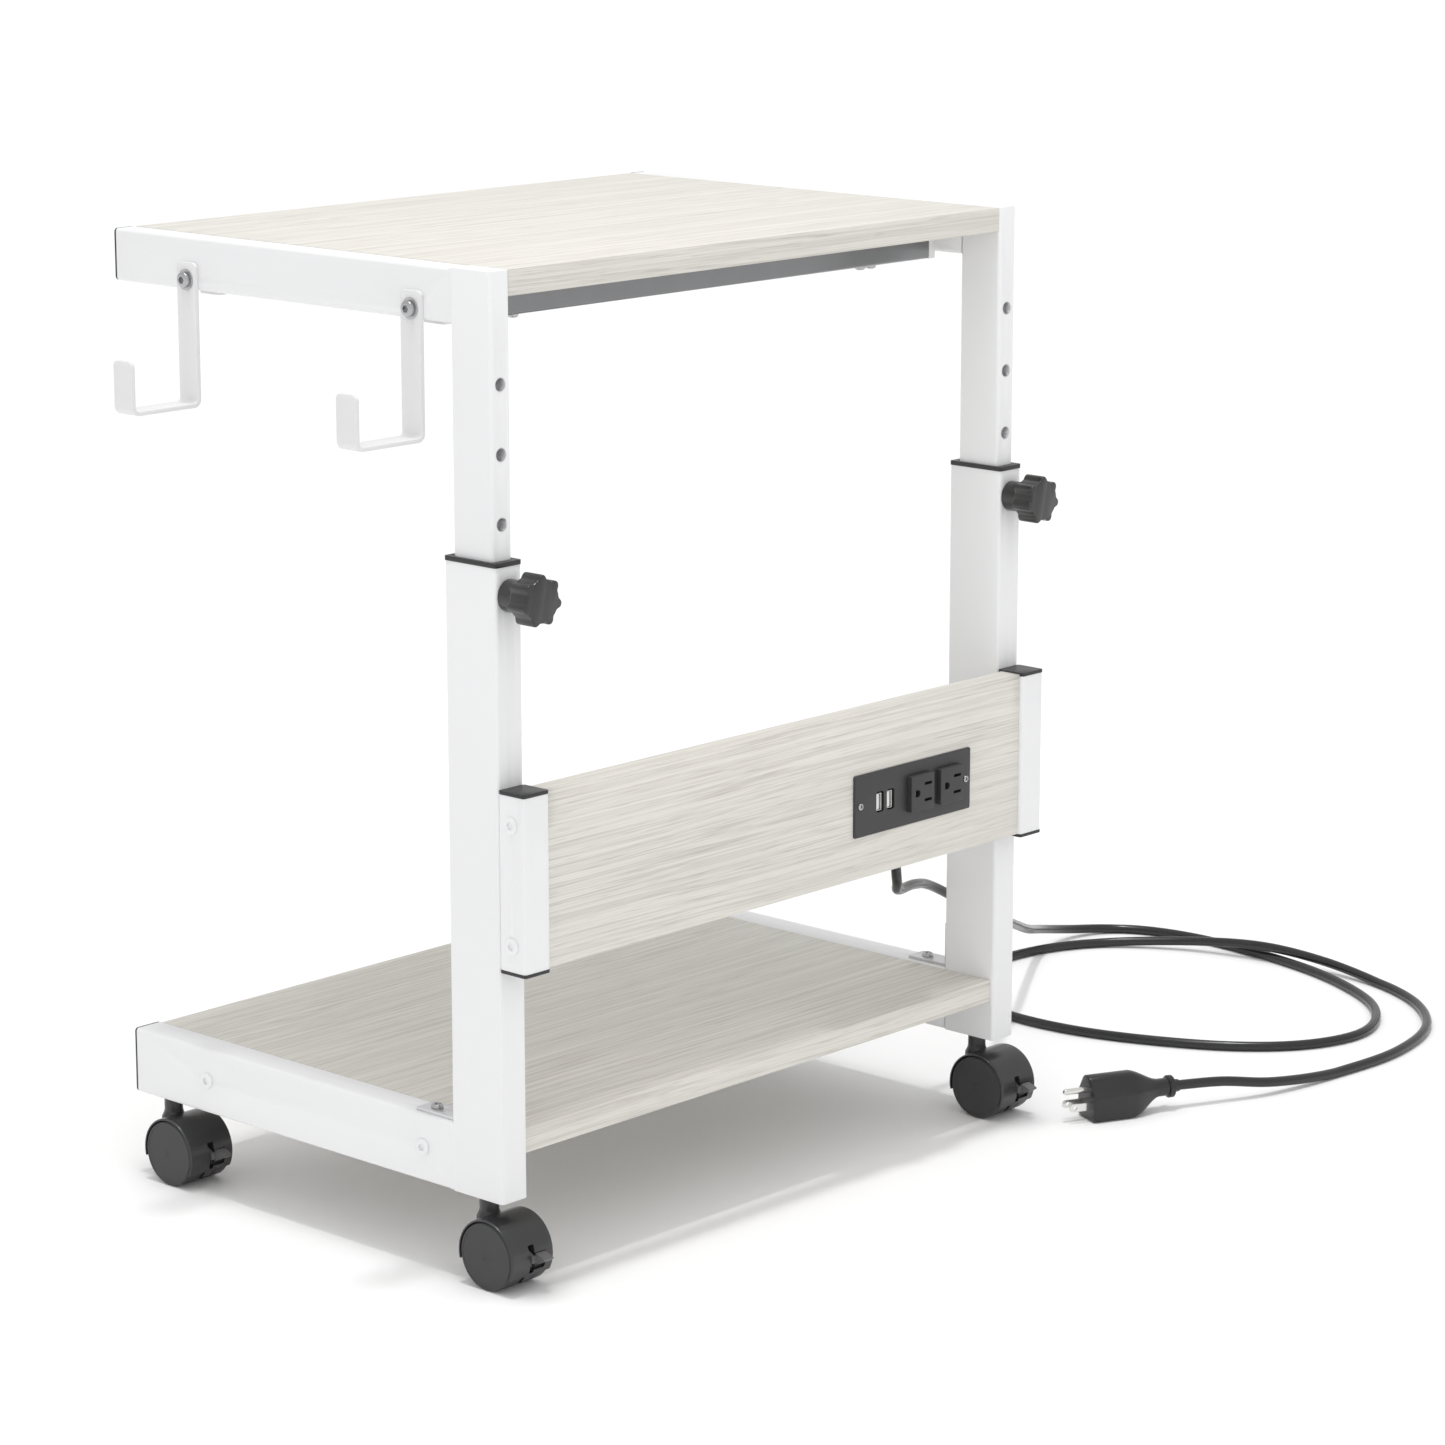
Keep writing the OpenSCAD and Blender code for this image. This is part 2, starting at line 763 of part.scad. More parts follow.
module right_knob_grip() {
    color("black") place() right_side() knob_grip();
}

module left_knob_stud() {
    color("silver") place() knob_stud();
}

module right_knob_stud() {
    color("silver") place() right_side() knob_stud();
}

// ---- casters: local origin at the axle's middle, swivel axis at y = trail ----

module caster_place(right, rear) {
    x = right == 1 ? frame_w - hole_x : hole_x;
    place() translate([x, swivel_y[rear] - trail, wheel_d / 2]) children();
}

// Slice of a disc around the axle, between two radii, over a span of angles from -Y upwards
module hood_arc(r_out, r_in, width, from, to) {
    rotate([0, 90, 0]) rotate([0, 0, 270 - to]) translate([0, 0, -width / 2])
        rotate_extrude(angle = to - from) translate([r_in, 0]) square([r_out - r_in, width]);
}

module caster_hood() {
    shell_from = -28;
    shell_to = 194;
    chord = 18;
    pocket = 4.2;
    wall_in = 4.5;
    color("dimgray") {
        difference() {
            union() {
                hood_arc(hood_r, hood_r - 8, caster_w, shell_from, shell_to);
                difference() {
                    rotate([0, 90, 0]) translate([0, 0, -web / 2]) cylinder(r = hood_in + 0.4, h = web);
                    translate([-web, -hood_r, -hood_r - chord / 2]) cube([2 * web, 2 * hood_r, chord]);
                }
                translate([0, trail, 10]) cylinder(d = neck_d, h = axle_drop - washer_t - 10);
            }
            // one chamber for each wheel
            for (side = [-1, 1]) rotate([0, 90 * side, 0]) translate([0, 0, web / 2])
                cylinder(r = hood_in, h = caster_w);
            translate([0, trail, stem_foot]) cylinder(d = stem_d, h = axle_drop);
            translate([-web, 0, 0]) rod_x(axle_d + 0.04, 2 * web);
            // the brake's pocket, and the window that its tab moves in
            translate([-pocket / 2, -hood_r - 1, -11]) cube([pocket, hood_r - 3, 21]);
            translate([-pocket / 2, -hood_r - 1, -9]) cube([15, wall_in, 13]);
        }
        translate([-web / 2 + 0.5, lever_py, lever_pz]) rod_x(lever_pin_d, web - 1);
    }
}

module caster_stem() {
    into_socket = 26;
    color("silver") {
        translate([0, trail, stem_foot]) cylinder(d = stem_d, h = axle_drop + into_socket - stem_foot);
        translate([-caster_w / 2 + 3, 0, 0]) rod_x(axle_d, caster_w - 6);
    }
}

// One wheel, with its inner face towards the web; side is -1 on the left and +1 on the right
module caster_wheel(side) {
    width = (caster_w - web) / 2 - wheel_gap;
    start = web / 2 + wheel_gap;
    chamfer = 1.5;
    color("dimgray") rotate([0, 90 * side, 0]) translate([0, 0, start]) difference() {
        union() {
            cylinder(r = wheel_d / 2, h = width - chamfer);
            translate([0, 0, width - chamfer])
                cylinder(r1 = wheel_d / 2, r2 = wheel_d / 2 - chamfer, h = chamfer);
        }
        translate([0, 0, -1]) cylinder(d = axle_d + 0.1, h = width - chamfer);
    }
}

// Brake lever: an arm in the hood's pocket and a thumb tab outside the hood
module caster_brake() {
    arm_w = 3.2;
    tab_w = 13;
    tab_out = 9;
    color("gray") difference() {
        union() {
            translate([-arm_w / 2, lever_py, lever_pz]) rod_x(2 * arm_w, arm_w);
            translate([-arm_w / 2, -hood_r - 2, -3]) cube([arm_w, hood_r + 2 + lever_py, 6.5]);
            translate([-arm_w / 2, -hood_r - tab_out, -3]) cube([tab_w, tab_out - 0.4, 3]);
        }
        translate([-arm_w, lever_py, lever_pz]) rod_x(lever_pin_d + 0.1, 2 * arm_w);
    }
}

module front_left_caster_hood() { caster_place(0, 0) caster_hood(); }
module front_left_caster_stem() { caster_place(0, 0) caster_stem(); }
module front_left_wheel_outer() { caster_place(0, 0) caster_wheel(-1); }
module front_left_wheel_inner() { caster_place(0, 0) caster_wheel(1); }
module front_left_brake() { caster_place(0, 0) caster_brake(); }
module rear_left_caster_hood() { caster_place(0, 1) caster_hood(); }
module rear_left_caster_stem() { caster_place(0, 1) caster_stem(); }
module rear_left_wheel_outer() { caster_place(0, 1) caster_wheel(-1); }
module rear_left_wheel_inner() { caster_place(0, 1) caster_wheel(1); }
module rear_left_brake() { caster_place(0, 1) caster_brake(); }
module front_right_caster_hood() { caster_place(1, 0) caster_hood(); }
module front_right_caster_stem() { caster_place(1, 0) caster_stem(); }
module front_right_wheel_outer() { caster_place(1, 0) caster_wheel(1); }
module front_right_wheel_inner() { caster_place(1, 0) caster_wheel(-1); }
module front_right_brake() { caster_place(1, 0) caster_brake(); }
module rear_right_caster_hood() { caster_place(1, 1) caster_hood(); }
module rear_right_caster_stem() { caster_place(1, 1) caster_stem(); }
module rear_right_wheel_outer() { caster_place(1, 1) caster_wheel(1); }
module rear_right_wheel_inner() { caster_place(1, 1) caster_wheel(-1); }
module rear_right_brake() { caster_place(1, 1) caster_brake(); }

lower_legs();
base_rails();
guide_collars();
base_rail_caps();
bottom_board();
base_crossbars();
base_bolts();
panel_posts();
panel_post_caps();
front_panel();
panel_screws();
power_faceplate();
power_housing();
outlet_blocks();
outlet_contacts();
usb_shells();
usb_tongues();
faceplate_screws();
cord_strain_relief();
power_cord();
plug_body();
plug_blades();
corner_braces();
brace_screws();
knob_bushes();
caster_sockets();
upper_legs();
top_rails();
top_rail_caps();
top_board();
top_crossbars();
crossbar_ends();
crossbar_screws();
accessory_hooks();
hook_bolts();
inner_leg_glides();
left_knob_grip();
left_knob_stud();
right_knob_grip();
right_knob_stud();
front_left_caster_hood();
front_left_caster_stem();
front_left_wheel_outer();
front_left_wheel_inner();
front_left_brake();
rear_left_caster_hood();
rear_left_caster_stem();
rear_left_wheel_outer();
rear_left_wheel_inner();
rear_left_brake();
front_right_caster_hood();
front_right_caster_stem();
front_right_wheel_outer();
front_right_wheel_inner();
front_right_brake();
rear_right_caster_hood();
rear_right_caster_stem();
rear_right_wheel_outer();
rear_right_wheel_inner();
rear_right_brake();
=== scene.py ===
"""Looks of a mobile computer stand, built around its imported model.

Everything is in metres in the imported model's frame: +X from the hook side to the power side,
+Y from the front legs to the open rear, +Z up, with the floor at zero.
"""
import json
import logging
import math
from collections.abc import Callable, Sequence
from dataclasses import dataclass
from enum import Enum

import bmesh
import bpy
from mathutils import Matrix, Vector

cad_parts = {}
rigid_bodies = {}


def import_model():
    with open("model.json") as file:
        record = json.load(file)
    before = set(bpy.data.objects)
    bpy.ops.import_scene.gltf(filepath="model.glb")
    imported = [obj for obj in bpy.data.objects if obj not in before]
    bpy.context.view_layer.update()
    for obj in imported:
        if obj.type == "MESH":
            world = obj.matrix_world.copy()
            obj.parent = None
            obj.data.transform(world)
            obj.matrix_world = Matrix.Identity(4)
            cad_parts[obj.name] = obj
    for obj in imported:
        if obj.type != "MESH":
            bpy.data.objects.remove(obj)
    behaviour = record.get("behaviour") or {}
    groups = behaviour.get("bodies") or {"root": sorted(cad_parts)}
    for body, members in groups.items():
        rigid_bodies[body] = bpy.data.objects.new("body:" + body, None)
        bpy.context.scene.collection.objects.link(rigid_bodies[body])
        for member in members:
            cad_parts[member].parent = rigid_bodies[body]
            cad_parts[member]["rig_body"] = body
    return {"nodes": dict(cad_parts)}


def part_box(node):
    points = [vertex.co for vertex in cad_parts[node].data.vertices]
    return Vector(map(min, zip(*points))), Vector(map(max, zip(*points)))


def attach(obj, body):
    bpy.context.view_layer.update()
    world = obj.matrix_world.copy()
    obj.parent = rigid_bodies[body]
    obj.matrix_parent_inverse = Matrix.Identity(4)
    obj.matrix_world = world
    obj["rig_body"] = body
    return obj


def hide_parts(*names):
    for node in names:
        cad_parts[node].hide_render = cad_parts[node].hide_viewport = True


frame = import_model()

LOG = logging.getLogger("stand")
MM = 0.001
CRISP = 0.02 * MM       # the rounding of a tool that cuts a sharp edge
MERGE = 0.004 * MM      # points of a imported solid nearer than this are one
FLAT = 0.6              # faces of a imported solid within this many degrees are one
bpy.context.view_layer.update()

Outline = list[tuple[float, float]]
Colour = tuple[float, float, float]


# ---- shader maths


class Wire:
    """A value that flows through a material, with Python's arithmetic."""

    def __init__(self, graph: "Graph", socket: bpy.types.NodeSocket) -> None:
        """Wraps one output socket of a graph."""
        self.graph = graph
        self.socket = socket

    def _math(self, operation: str, first: "Wire | float", second: "Wire | float" = 0.0) -> "Wire":
        """Adds a Math node for two numbers."""
        return self.graph.node("ShaderNodeMath", {"operation": operation}, {0: first, 1: second})

    def __add__(self, other: "Wire | float") -> "Wire":
        """Sum."""
        return self._math("ADD", self, other)

    __radd__ = __add__

    def __sub__(self, other: "Wire | float") -> "Wire":
        """Difference."""
        return self._math("SUBTRACT", self, other)

    def __rsub__(self, other: float) -> "Wire":
        """Difference from a plain number."""
        return self._math("SUBTRACT", other, self)

    def __mul__(self, other: "Wire | float") -> "Wire":
        """Product."""
        return self._math("MULTIPLY", self, other)

    __rmul__ = __mul__

    def __abs__(self) -> "Wire":
        """Size without sign."""
        return self._math("ABSOLUTE", self)

    def clamped(self) -> "Wire":
        """The value held between 0 and 1."""
        return self.graph.node("ShaderNodeClamp", {}, {0: self, 1: 0.0, 2: 1.0})


Feed = Wire | float | tuple


class Graph:
    """The node tree of one material."""

    def __init__(self, name: str) -> None:
        """Makes an empty material with a Principled shader."""
        self.material = bpy.data.materials.new(name)
        self.material.use_nodes = True
        self.tree = self.material.node_tree
        self.shader = self.tree.nodes["Principled BSDF"]

    def node(self, kind: str, settings: dict, inputs: dict, output: int | str = 0) -> Wire:
        """Adds a node.

        Args:
            kind: The node's Blender type.
            settings: Attributes that are set first.
            inputs: Values or wires, by socket name or number.
            output: Which output to hand on.

        Returns:
            The chosen output.
        """
        made = self.tree.nodes.new(kind)
        for key, value in settings.items():
            setattr(made, key, value)
        for key, value in inputs.items():
            self.feed(made.inputs[key], value)
        return Wire(self, made.outputs[output])

    def feed(self, socket: bpy.types.NodeSocket, value: Feed) -> None:
        """Sets a socket to a value, or links a wire to it."""
        if isinstance(value, Wire):
            self.tree.links.new(value.socket, socket)
        else:
            socket.default_value = value

    def place(self) -> Wire:
        """The point on the piece, in its own metres."""
        return self.node("ShaderNodeTexCoord", {}, {}, "Object")

    def stretched(self, point: Wire, scale: tuple[float, float, float]) -> Wire:
        """A point with each axis scaled by its own amount."""
        return self.node("ShaderNodeVectorMath", {"operation": "MULTIPLY"}, {0: point, 1: scale})

    def shifted(self, point: Wire, amount: Wire) -> Wire:
        """A point moved by the same amount along Y and Z."""
        step = self.node("ShaderNodeCombineXYZ", {}, {"Y": amount, "Z": amount})
        return self.node("ShaderNodeVectorMath", {"operation": "ADD"}, {0: point, 1: step})

    def noise(self, point: Wire, scale: float, detail: float = 2.0, rough: float = 0.5) -> Wire:
        """Cloudy noise from 0 to 1 about 0.5."""
        sockets = {"Vector": point, "Scale": scale, "Detail": detail, "Roughness": rough}
        return self.node("ShaderNodeTexNoise", {}, sockets, "Fac")

    def mixed(self, share: Wire, first: Feed, second: Feed) -> Wire:
        """A colour between two colours."""
        low = (*first, 1) if isinstance(first, tuple) else first
        high = (*second, 1) if isinstance(second, tuple) else second
        return self.node("ShaderNodeMix", {"data_type": "RGBA"}, {0: share, 6: low, 7: high}, 2)

    def bump(self, height: Wire, distance: float, strength: float = 1.0) -> None:
        """Feeds a height to the shader's normal."""
        sockets = {"Strength": strength, "Distance": distance, "Height": height}
        self.feed(self.shader.inputs["Normal"], self.node("ShaderNodeBump", {}, sockets))

    def set(self, **values: Feed) -> None:
        """Sets the shader's sockets, with underscores for the spaces in their names."""
        for key, value in values.items():
            socket = self.shader.inputs[key.replace("_", " ")]
            self.feed(socket, (*value, 1) if isinstance(value, tuple) else value)


# ---- finishes


@dataclass(frozen=True)
class PowderCoat:
    """Baked powder paint with a fine orange peel."""

    name: str
    colour: Colour
    roughness: float = 0.44
    peel: float = 0.03 * MM

    def make(self) -> bpy.types.Material:
        """Builds the material."""
        g = Graph(self.name)
        spot = g.place()
        cloud = g.noise(spot, 9, 3)
        g.set(Base_Color=g.mixed(cloud, tuple(0.975 * c for c in self.colour), self.colour))
        g.set(Roughness=self.roughness - 0.05 + 0.1 * g.noise(spot, 60, 2))
        g.set(Metallic=0.0, Specular_IOR_Level=0.45)
        g.bump(g.noise(spot, 1100, 2) + 0.5 * g.noise(spot, 330, 1), self.peel, 0.5)
        return g.material


@dataclass(frozen=True)
class OakLaminate:
    """Printed laminate of whitewashed oak, its grain along X."""

    name: str
    light: Colour
    dark: Colour
    vein: Colour

    def make(self) -> bpy.types.Material:
        """Builds the material."""
        g = Graph(self.name)
        spot = g.place()
        wander = g.noise(g.stretched(spot, (2.0, 6, 6)), 1.0, 1) - 0.5
        grain = g.shifted(spot, 0.016 * wander)
        cloud = g.noise(g.stretched(grain, (1.2, 16, 16)), 1.0, 3)
        fibre = g.noise(g.stretched(grain, (45, 1500, 1500)), 1.0, 3, 0.65)
        ring = g.noise(g.stretched(grain, (1.5, 190, 190)), 1.0, 2, 0.5)
        hair = g.noise(g.stretched(grain, (5.0, 560, 560)), 1.0, 2, 0.5)
        fleck = g.noise(g.stretched(grain, (30, 700, 700)), 1.0, 1)
        line = (1 - 20 * abs(ring - 0.5)).clamped() + 0.8 * (1 - 24 * abs(ring - 0.41)).clamped()
        thread = (1 - 12 * abs(hair - 0.5)).clamped()
        dash = ((fleck - 0.6) * 9).clamped()
        body = g.mixed(((cloud - 0.3) * 1.7 + 0.5 * (fibre - 0.5)).clamped(), self.dark, self.light)
        marks = (0.72 * line * (cloud + 0.05) + 0.26 * thread + 0.25 * dash).clamped()
        g.set(Base_Color=g.mixed(marks, body, self.vein), Roughness=0.48 + 0.14 * fibre, Metallic=0.0)
        g.set(Specular_IOR_Level=0.4)
        g.bump(0.6 * fibre - 0.5 * line, 0.07 * MM, 0.6)
        return g.material


@dataclass(frozen=True)
class MouldedPlastic:
    """Moulded plastic with a spark-eroded grain."""

    name: str
    colour: Colour
    roughness: float
    grain: float = 0.03 * MM
    coat: float = 0.0

    def make(self) -> bpy.types.Material:
        """Builds the material."""
        g = Graph(self.name)
        spot = g.place()
        flow = g.noise(spot, 35, 3)
        g.set(Base_Color=g.mixed(flow, tuple(0.92 * c for c in self.colour), self.colour))
        g.set(Roughness=self.roughness - 0.03 + 0.06 * g.noise(spot, 120, 2), Metallic=0.0)
        g.set(Coat_Weight=self.coat, Coat_Roughness=0.18, Specular_IOR_Level=0.5)
        g.bump(g.noise(spot, 2600, 2), self.grain, 0.3)
        return g.material


@dataclass(frozen=True)
class PlatedMetal:
    """Plated or bare steel, with drawing lines along X."""

    name: str
    colour: Colour
    roughness: float
    lines: float = 0.02 * MM

    def make(self) -> bpy.types.Material:
        """Builds the material."""
        g = Graph(self.name)
        spot = g.place()
        drawn = g.noise(g.stretched(spot, (25, 1500, 1500)), 1.0, 3)
        cloud = g.noise(spot, 45, 3)
        g.set(Base_Color=g.mixed(cloud, tuple(0.86 * c for c in self.colour), self.colour))
        g.set(Roughness=self.roughness - 0.08 + 0.1 * drawn + 0.08 * cloud, Metallic=1.0)
        g.bump(drawn, self.lines, 0.35)
        return g.material


@dataclass(frozen=True)
class CordJacket:
    """Extruded PVC with faint die lines and a soft sheen."""

    name: str
    colour: Colour
    roughness: float

    def make(self) -> bpy.types.Material:
        """Builds the material."""
        g = Graph(self.name)
        spot = g.place()
        smear = g.noise(spot, 28, 4)
        g.set(Base_Color=g.mixed(smear, tuple(0.8 * c for c in self.colour), self.colour))
        g.set(Roughness=self.roughness - 0.07 + 0.14 * g.noise(spot, 140, 2), Metallic=0.0)
        g.set(Specular_IOR_Level=0.55)
        g.bump(g.noise(spot, 900, 2) + 0.6 * smear, 0.04 * MM, 0.4)
        return g.material


class Finish(Enum):
    """The finishes of the stand; each value is named as its slot in the record."""

    WHITE_COAT = PowderCoat("powder_coat_white", (0.86, 0.863, 0.87))
    HOOK_COAT = PowderCoat("hook_white", (0.79, 0.79, 0.795))
    BAR_STEEL = PlatedMetal("crossbar_steel", (0.24, 0.243, 0.247), 0.3)
    BAR_END = PowderCoat("crossbar_end_white", (0.80, 0.80, 0.80))
    OAK = OakLaminate("oak_laminate", (0.785, 0.762, 0.712), (0.73, 0.707, 0.657), (0.46, 0.435, 0.39))
    CAP = MouldedPlastic("black_cap", (0.02, 0.02, 0.022), 0.38)
    BRACE = PlatedMetal("brace_steel", (0.74, 0.74, 0.75), 0.34)
    SCREW = PlatedMetal("screw_steel", (0.5, 0.5, 0.51), 0.24)
    POWER = MouldedPlastic("power_plastic", (0.036, 0.036, 0.038), 0.46)
    BRASS = PlatedMetal("contact_brass", (0.78, 0.58, 0.28), 0.28)
    USB_SHELL = PlatedMetal("usb_steel", (0.72, 0.72, 0.72), 0.22)
    USB_TONGUE = MouldedPlastic("usb_white", (0.78, 0.78, 0.76), 0.4)
    CORD = CordJacket("cord_black", (0.014, 0.014, 0.015), 0.24)
    BLADE = PlatedMetal("blade_metal", (0.80, 0.79, 0.77), 0.16)
    KNOB = MouldedPlastic("knob_black", (0.02, 0.02, 0.02), 0.3, 0.015 * MM, 0.3)
    SOCKET = MouldedPlastic("socket_plastic", (0.16, 0.16, 0.165), 0.5)
    CASTER = MouldedPlastic("caster_plastic", (0.028, 0.028, 0.03), 0.31, 0.01 * MM, 0.2)
    WHEEL = MouldedPlastic("caster_wheel", (0.034, 0.034, 0.036), 0.44)
    BRAKE = MouldedPlastic("brake_grey", (0.13, 0.13, 0.133), 0.36)
    STEM = PlatedMetal("caster_steel", (0.6, 0.6, 0.61), 0.3)

    @property
    def slot(self) -> str:
        """The record's slot name."""
        return self.value.name

    def material(self) -> bpy.types.Material:
        """The finish's material, made once."""
        return bpy.data.materials.get("finish_" + self.slot) or self._make()

    def _make(self) -> bpy.types.Material:
        """Builds and names the material."""
        made = self.value.make()
        made.name = "finish_" + self.slot
        return made


# ---- mesh forms


def metres(points: Outline) -> Outline:
    """Points given in millimetres, in metres."""
    return [(a * MM, b * MM) for a, b in points]


def local(x: float, y: float, z: float) -> Vector:
    """A place on a piece's own axes, given in millimetres."""
    return Vector((x, y, z)) * MM


def facing(origin: Sequence[float], direction: Sequence[float]) -> Matrix:
    """Local axes at a point.

    Args:
        origin: The point.
        direction: Where local Z looks.

    Returns:
        The matrix; local Y is up where Z is level, and local X is +X where Z is upright.
    """
    z = Vector(direction).normalized()
    x = Vector((0, 0, 1)).cross(z).normalized() if abs(z.z) < 0.9 else Vector((1, 0, 0))
    y = z.cross(x)
    turn = Matrix((x, y, z)).transposed().to_4x4()
    return Matrix.Translation(Vector(origin)) @ turn


def rectangle(width: float, height: float, radius: float, steps: int = 5) -> Outline:
    """A rectangle about the origin with rounded corners, anticlockwise."""
    points = []
    for quarter, (sx, sy) in enumerate([(1, 1), (-1, 1), (-1, -1), (1, -1)]):
        for k in range(steps + 1):
            angle = (quarter + k / steps) * math.pi / 2
            points.append((sx * (width / 2 - radius) + radius * math.cos(angle),
                           sy * (height / 2 - radius) + radius * math.sin(angle)))
    return points


def circle(radius: float, steps: int = 48) -> Outline:
    """A circle about the origin, anticlockwise."""
    return [(radius * math.cos(2 * math.pi * k / steps), radius * math.sin(2 * math.pi * k / steps))
            for k in range(steps)]


def loft(bm: bmesh.types.BMesh, rings: Sequence[Sequence[Vector]], closed: bool = False) -> None:
    """Skins a row of rings with the same number of points.

    Args:
        bm: The mesh to add to.
        rings: The rings in order; a ring of one point is a tip.
        closed: True if the last ring joins the first, and no ends are capped.
    """
    rows = [[bm.verts.new(p) for p in ring] for ring in rings]
    pairs = list(zip(rows, rows[1:] + rows[:1])) if closed else list(zip(rows, rows[1:]))
    for low, high in pairs:
        count = max(len(low), len(high))
        for k in range(count):
            n = (k + 1) % count
            corners = [low[k % len(low)], low[n % len(low)], high[n % len(high)], high[k % len(high)]]
            distinct = [v for i, v in enumerate(corners) if v not in corners[:i]]
            bm.faces.new(distinct)
    if not closed:
        for row, order in ((rows[0], -1), (rows[-1], 1)):
            if len(row) > 2:
                bm.faces.new(row[::order])


def stack(bm: bmesh.types.BMesh, layers: Sequence[tuple[Outline, float]], at: Matrix) -> None:
    """Skins flat outlines set at heights along local Z."""
    loft(bm, [[at @ Vector((x, y, z)) for x, y in outline] for outline, z in layers])


def turned(bm: bmesh.types.BMesh, profile: Sequence[tuple[float, float]], at: Matrix,
           steps: int = 48, closed: bool = False) -> None:
    """Turns a profile of (radius, height) round local Z."""
    rings = []
    for radius, z in profile:
        rings.append([at @ Vector((0, 0, z))] if radius == 0 else
                     [at @ Vector((x, y, z)) for x, y in circle(radius, steps)])
    loft(bm, rings, closed)


def block(bm: bmesh.types.BMesh, size: Sequence[float], at: Matrix, corner: float, edge: float,
          steps: int = 3) -> None:
    """A block on local Z with rounded upright corners and rounded ends.

    Args:
        bm: The mesh to add to.
        size: Width, height and length along local X, Y and Z.
        at: The middle of the block's foot.
        corner: Radius of the four long corners.
        edge: Radius of the edges round both ends.
        steps: Facets in a quarter turn.
    """
    width, height, length = size
    layers = []
    for k in range(steps + 1):
        angle = k / steps * math.pi / 2
        inset = edge * (1 - math.sin(angle))
        radius = max(corner - inset, 0.05 * MM)
        ring = rectangle(width - 2 * inset, height - 2 * inset, radius, steps + 1)
        layers.append((ring, edge * (1 - math.cos(angle))))
    layers += [(ring, length - z) for ring, z in reversed(layers)]
    stack(bm, layers, at)


def slab(bm: bmesh.types.BMesh, low: Sequence[float], high: Sequence[float], corner: float,
         edge: float, axis: int = 2) -> None:
    """A rounded block between two corners, its rounded corners running along an axis."""
    lo, hi = Vector(low), Vector(high)
    middle, size = (lo + hi) / 2, hi - lo
    foot = middle.copy()
    foot[axis] = lo[axis]
    direction = [0.0, 0.0, 0.0]
    direction[axis] = 1.0
    at = facing(foot, direction)
    local = [abs(sum(size[i] * at.col[c][i] for i in range(3))) for c in (0, 1)]
    block(bm, (*local, size[axis]), at, corner, edge)


def placed(name: str, data: bpy.types.ID) -> bpy.types.Object:
    """Makes an object of a mesh, curve, lamp or camera, and puts it in the scene."""
    thing = bpy.data.objects.new(name, data)
    bpy.context.scene.collection.objects.link(thing)
    return thing


def applied(piece: bpy.types.Object) -> None:
    """Bakes a piece's modifiers into its mesh."""
    shaped = piece.evaluated_get(bpy.context.evaluated_depsgraph_get())
    mesh = bpy.data.meshes.new_from_object(shaped)
    old = piece.data
    piece.modifiers.clear()
    piece.data = mesh
    bpy.data.meshes.remove(old)


def solid(name: str, bm: bmesh.types.BMesh) -> bpy.types.Object:
    """Makes an object from a mesh in hand, with its faces turned outwards."""
    bmesh.ops.recalc_face_normals(bm, faces=bm.faces)
    mesh = bpy.data.meshes.new(name)
    bm.to_mesh(mesh)
    bm.free()
    return placed(name, mesh)


def joined(piece: bpy.types.Object, other: bmesh.types.BMesh, operation: str) -> None:
    """Cuts from a piece, or adds to it, a second closed form.

    Args:
        piece: The piece that is kept.
        other: The form, which is used up.
        operation: DIFFERENCE or UNION.
    """
    tool = solid("tool", other)
    change = piece.modifiers.new("change", "BOOLEAN")
    change.operation, change.solver, change.object = operation, "EXACT", tool
    change.use_self = operation == "DIFFERENCE"
    applied(piece)
    mesh = tool.data
    bpy.data.objects.remove(tool)
    bpy.data.meshes.remove(mesh)


def softened(piece: bpy.types.Object, width: float, segments: int = 2, limit: float = 38.0) -> None:
    """Rounds the sharp edges of a piece a little."""
    edge = piece.modifiers.new("edge", "BEVEL")
    edge.width, edge.segments, edge.limit_method = width, segments, "ANGLE"
    edge.angle_limit = math.radians(limit)
    edge.use_clamp_overlap = True
    applied(piece)


def shaded(piece: bpy.types.Object, limit: float = 32.0) -> None:
    """Shades a piece smooth, apart from its sharp edges."""
    for face in piece.data.polygons:
        face.use_smooth = True
    piece.data.set_sharp_from_angle(angle=math.radians(limit))


def evened(piece: bpy.types.Object) -> None:
    """Makes large faces keep their own shading where small ones were cut beside them."""
    even = piece.modifiers.new("even", "WEIGHTED_NORMAL")
    even.keep_sharp, even.weight = True, 90
    applied(piece)


def settle(piece: bpy.types.Object, finish: Finish, body: str, *stands_for: str) -> bpy.types.Object:
    """Gives a piece its finish and its body.

    Args:
        piece: The piece, in place.
        finish: Its finish.
        body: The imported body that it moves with.
        stands_for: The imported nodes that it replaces.

    Returns:
        The same piece.
    """
    piece.data.materials.clear()
    piece.data.materials.append(finish.material())
    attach(piece, body)
    if stands_for:
        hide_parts(*stands_for)
    LOG.info("%s: %d faces on %s", piece.name, len(getattr(piece.data, "polygons", [])), body)
    return piece


def made(name: str, bm: bmesh.types.BMesh, finish: Finish, body: str, *stands_for: str,
         limit: float = 32.0, cuts: bmesh.types.BMesh | None = None) -> bpy.types.Object:
    """Makes a piece, takes away its cuts, and shades and settles it."""
    piece = solid(name, bm)
    if cuts is not None:
        joined(piece, cuts, "DIFFERENCE")
    shaded(piece, limit)
    return settle(piece, finish, body, *stands_for)


LEG_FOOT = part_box("lower_legs")[0]
FRAME_WIDTH = (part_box("lower_legs")[1] - LEG_FOOT).x / MM


def spot(x: float, y: float, z: float) -> Vector:
    """A point, in millimetres, from the floor straight below the left leg's outer front corner."""
    return Vector((LEG_FOOT.x, LEG_FOOT.y, 0.0)) + local(x, y, z)


def mirrored(x: float) -> float:
    """The millimetre place across the stand that matches one on the left."""
    return FRAME_WIDTH - x


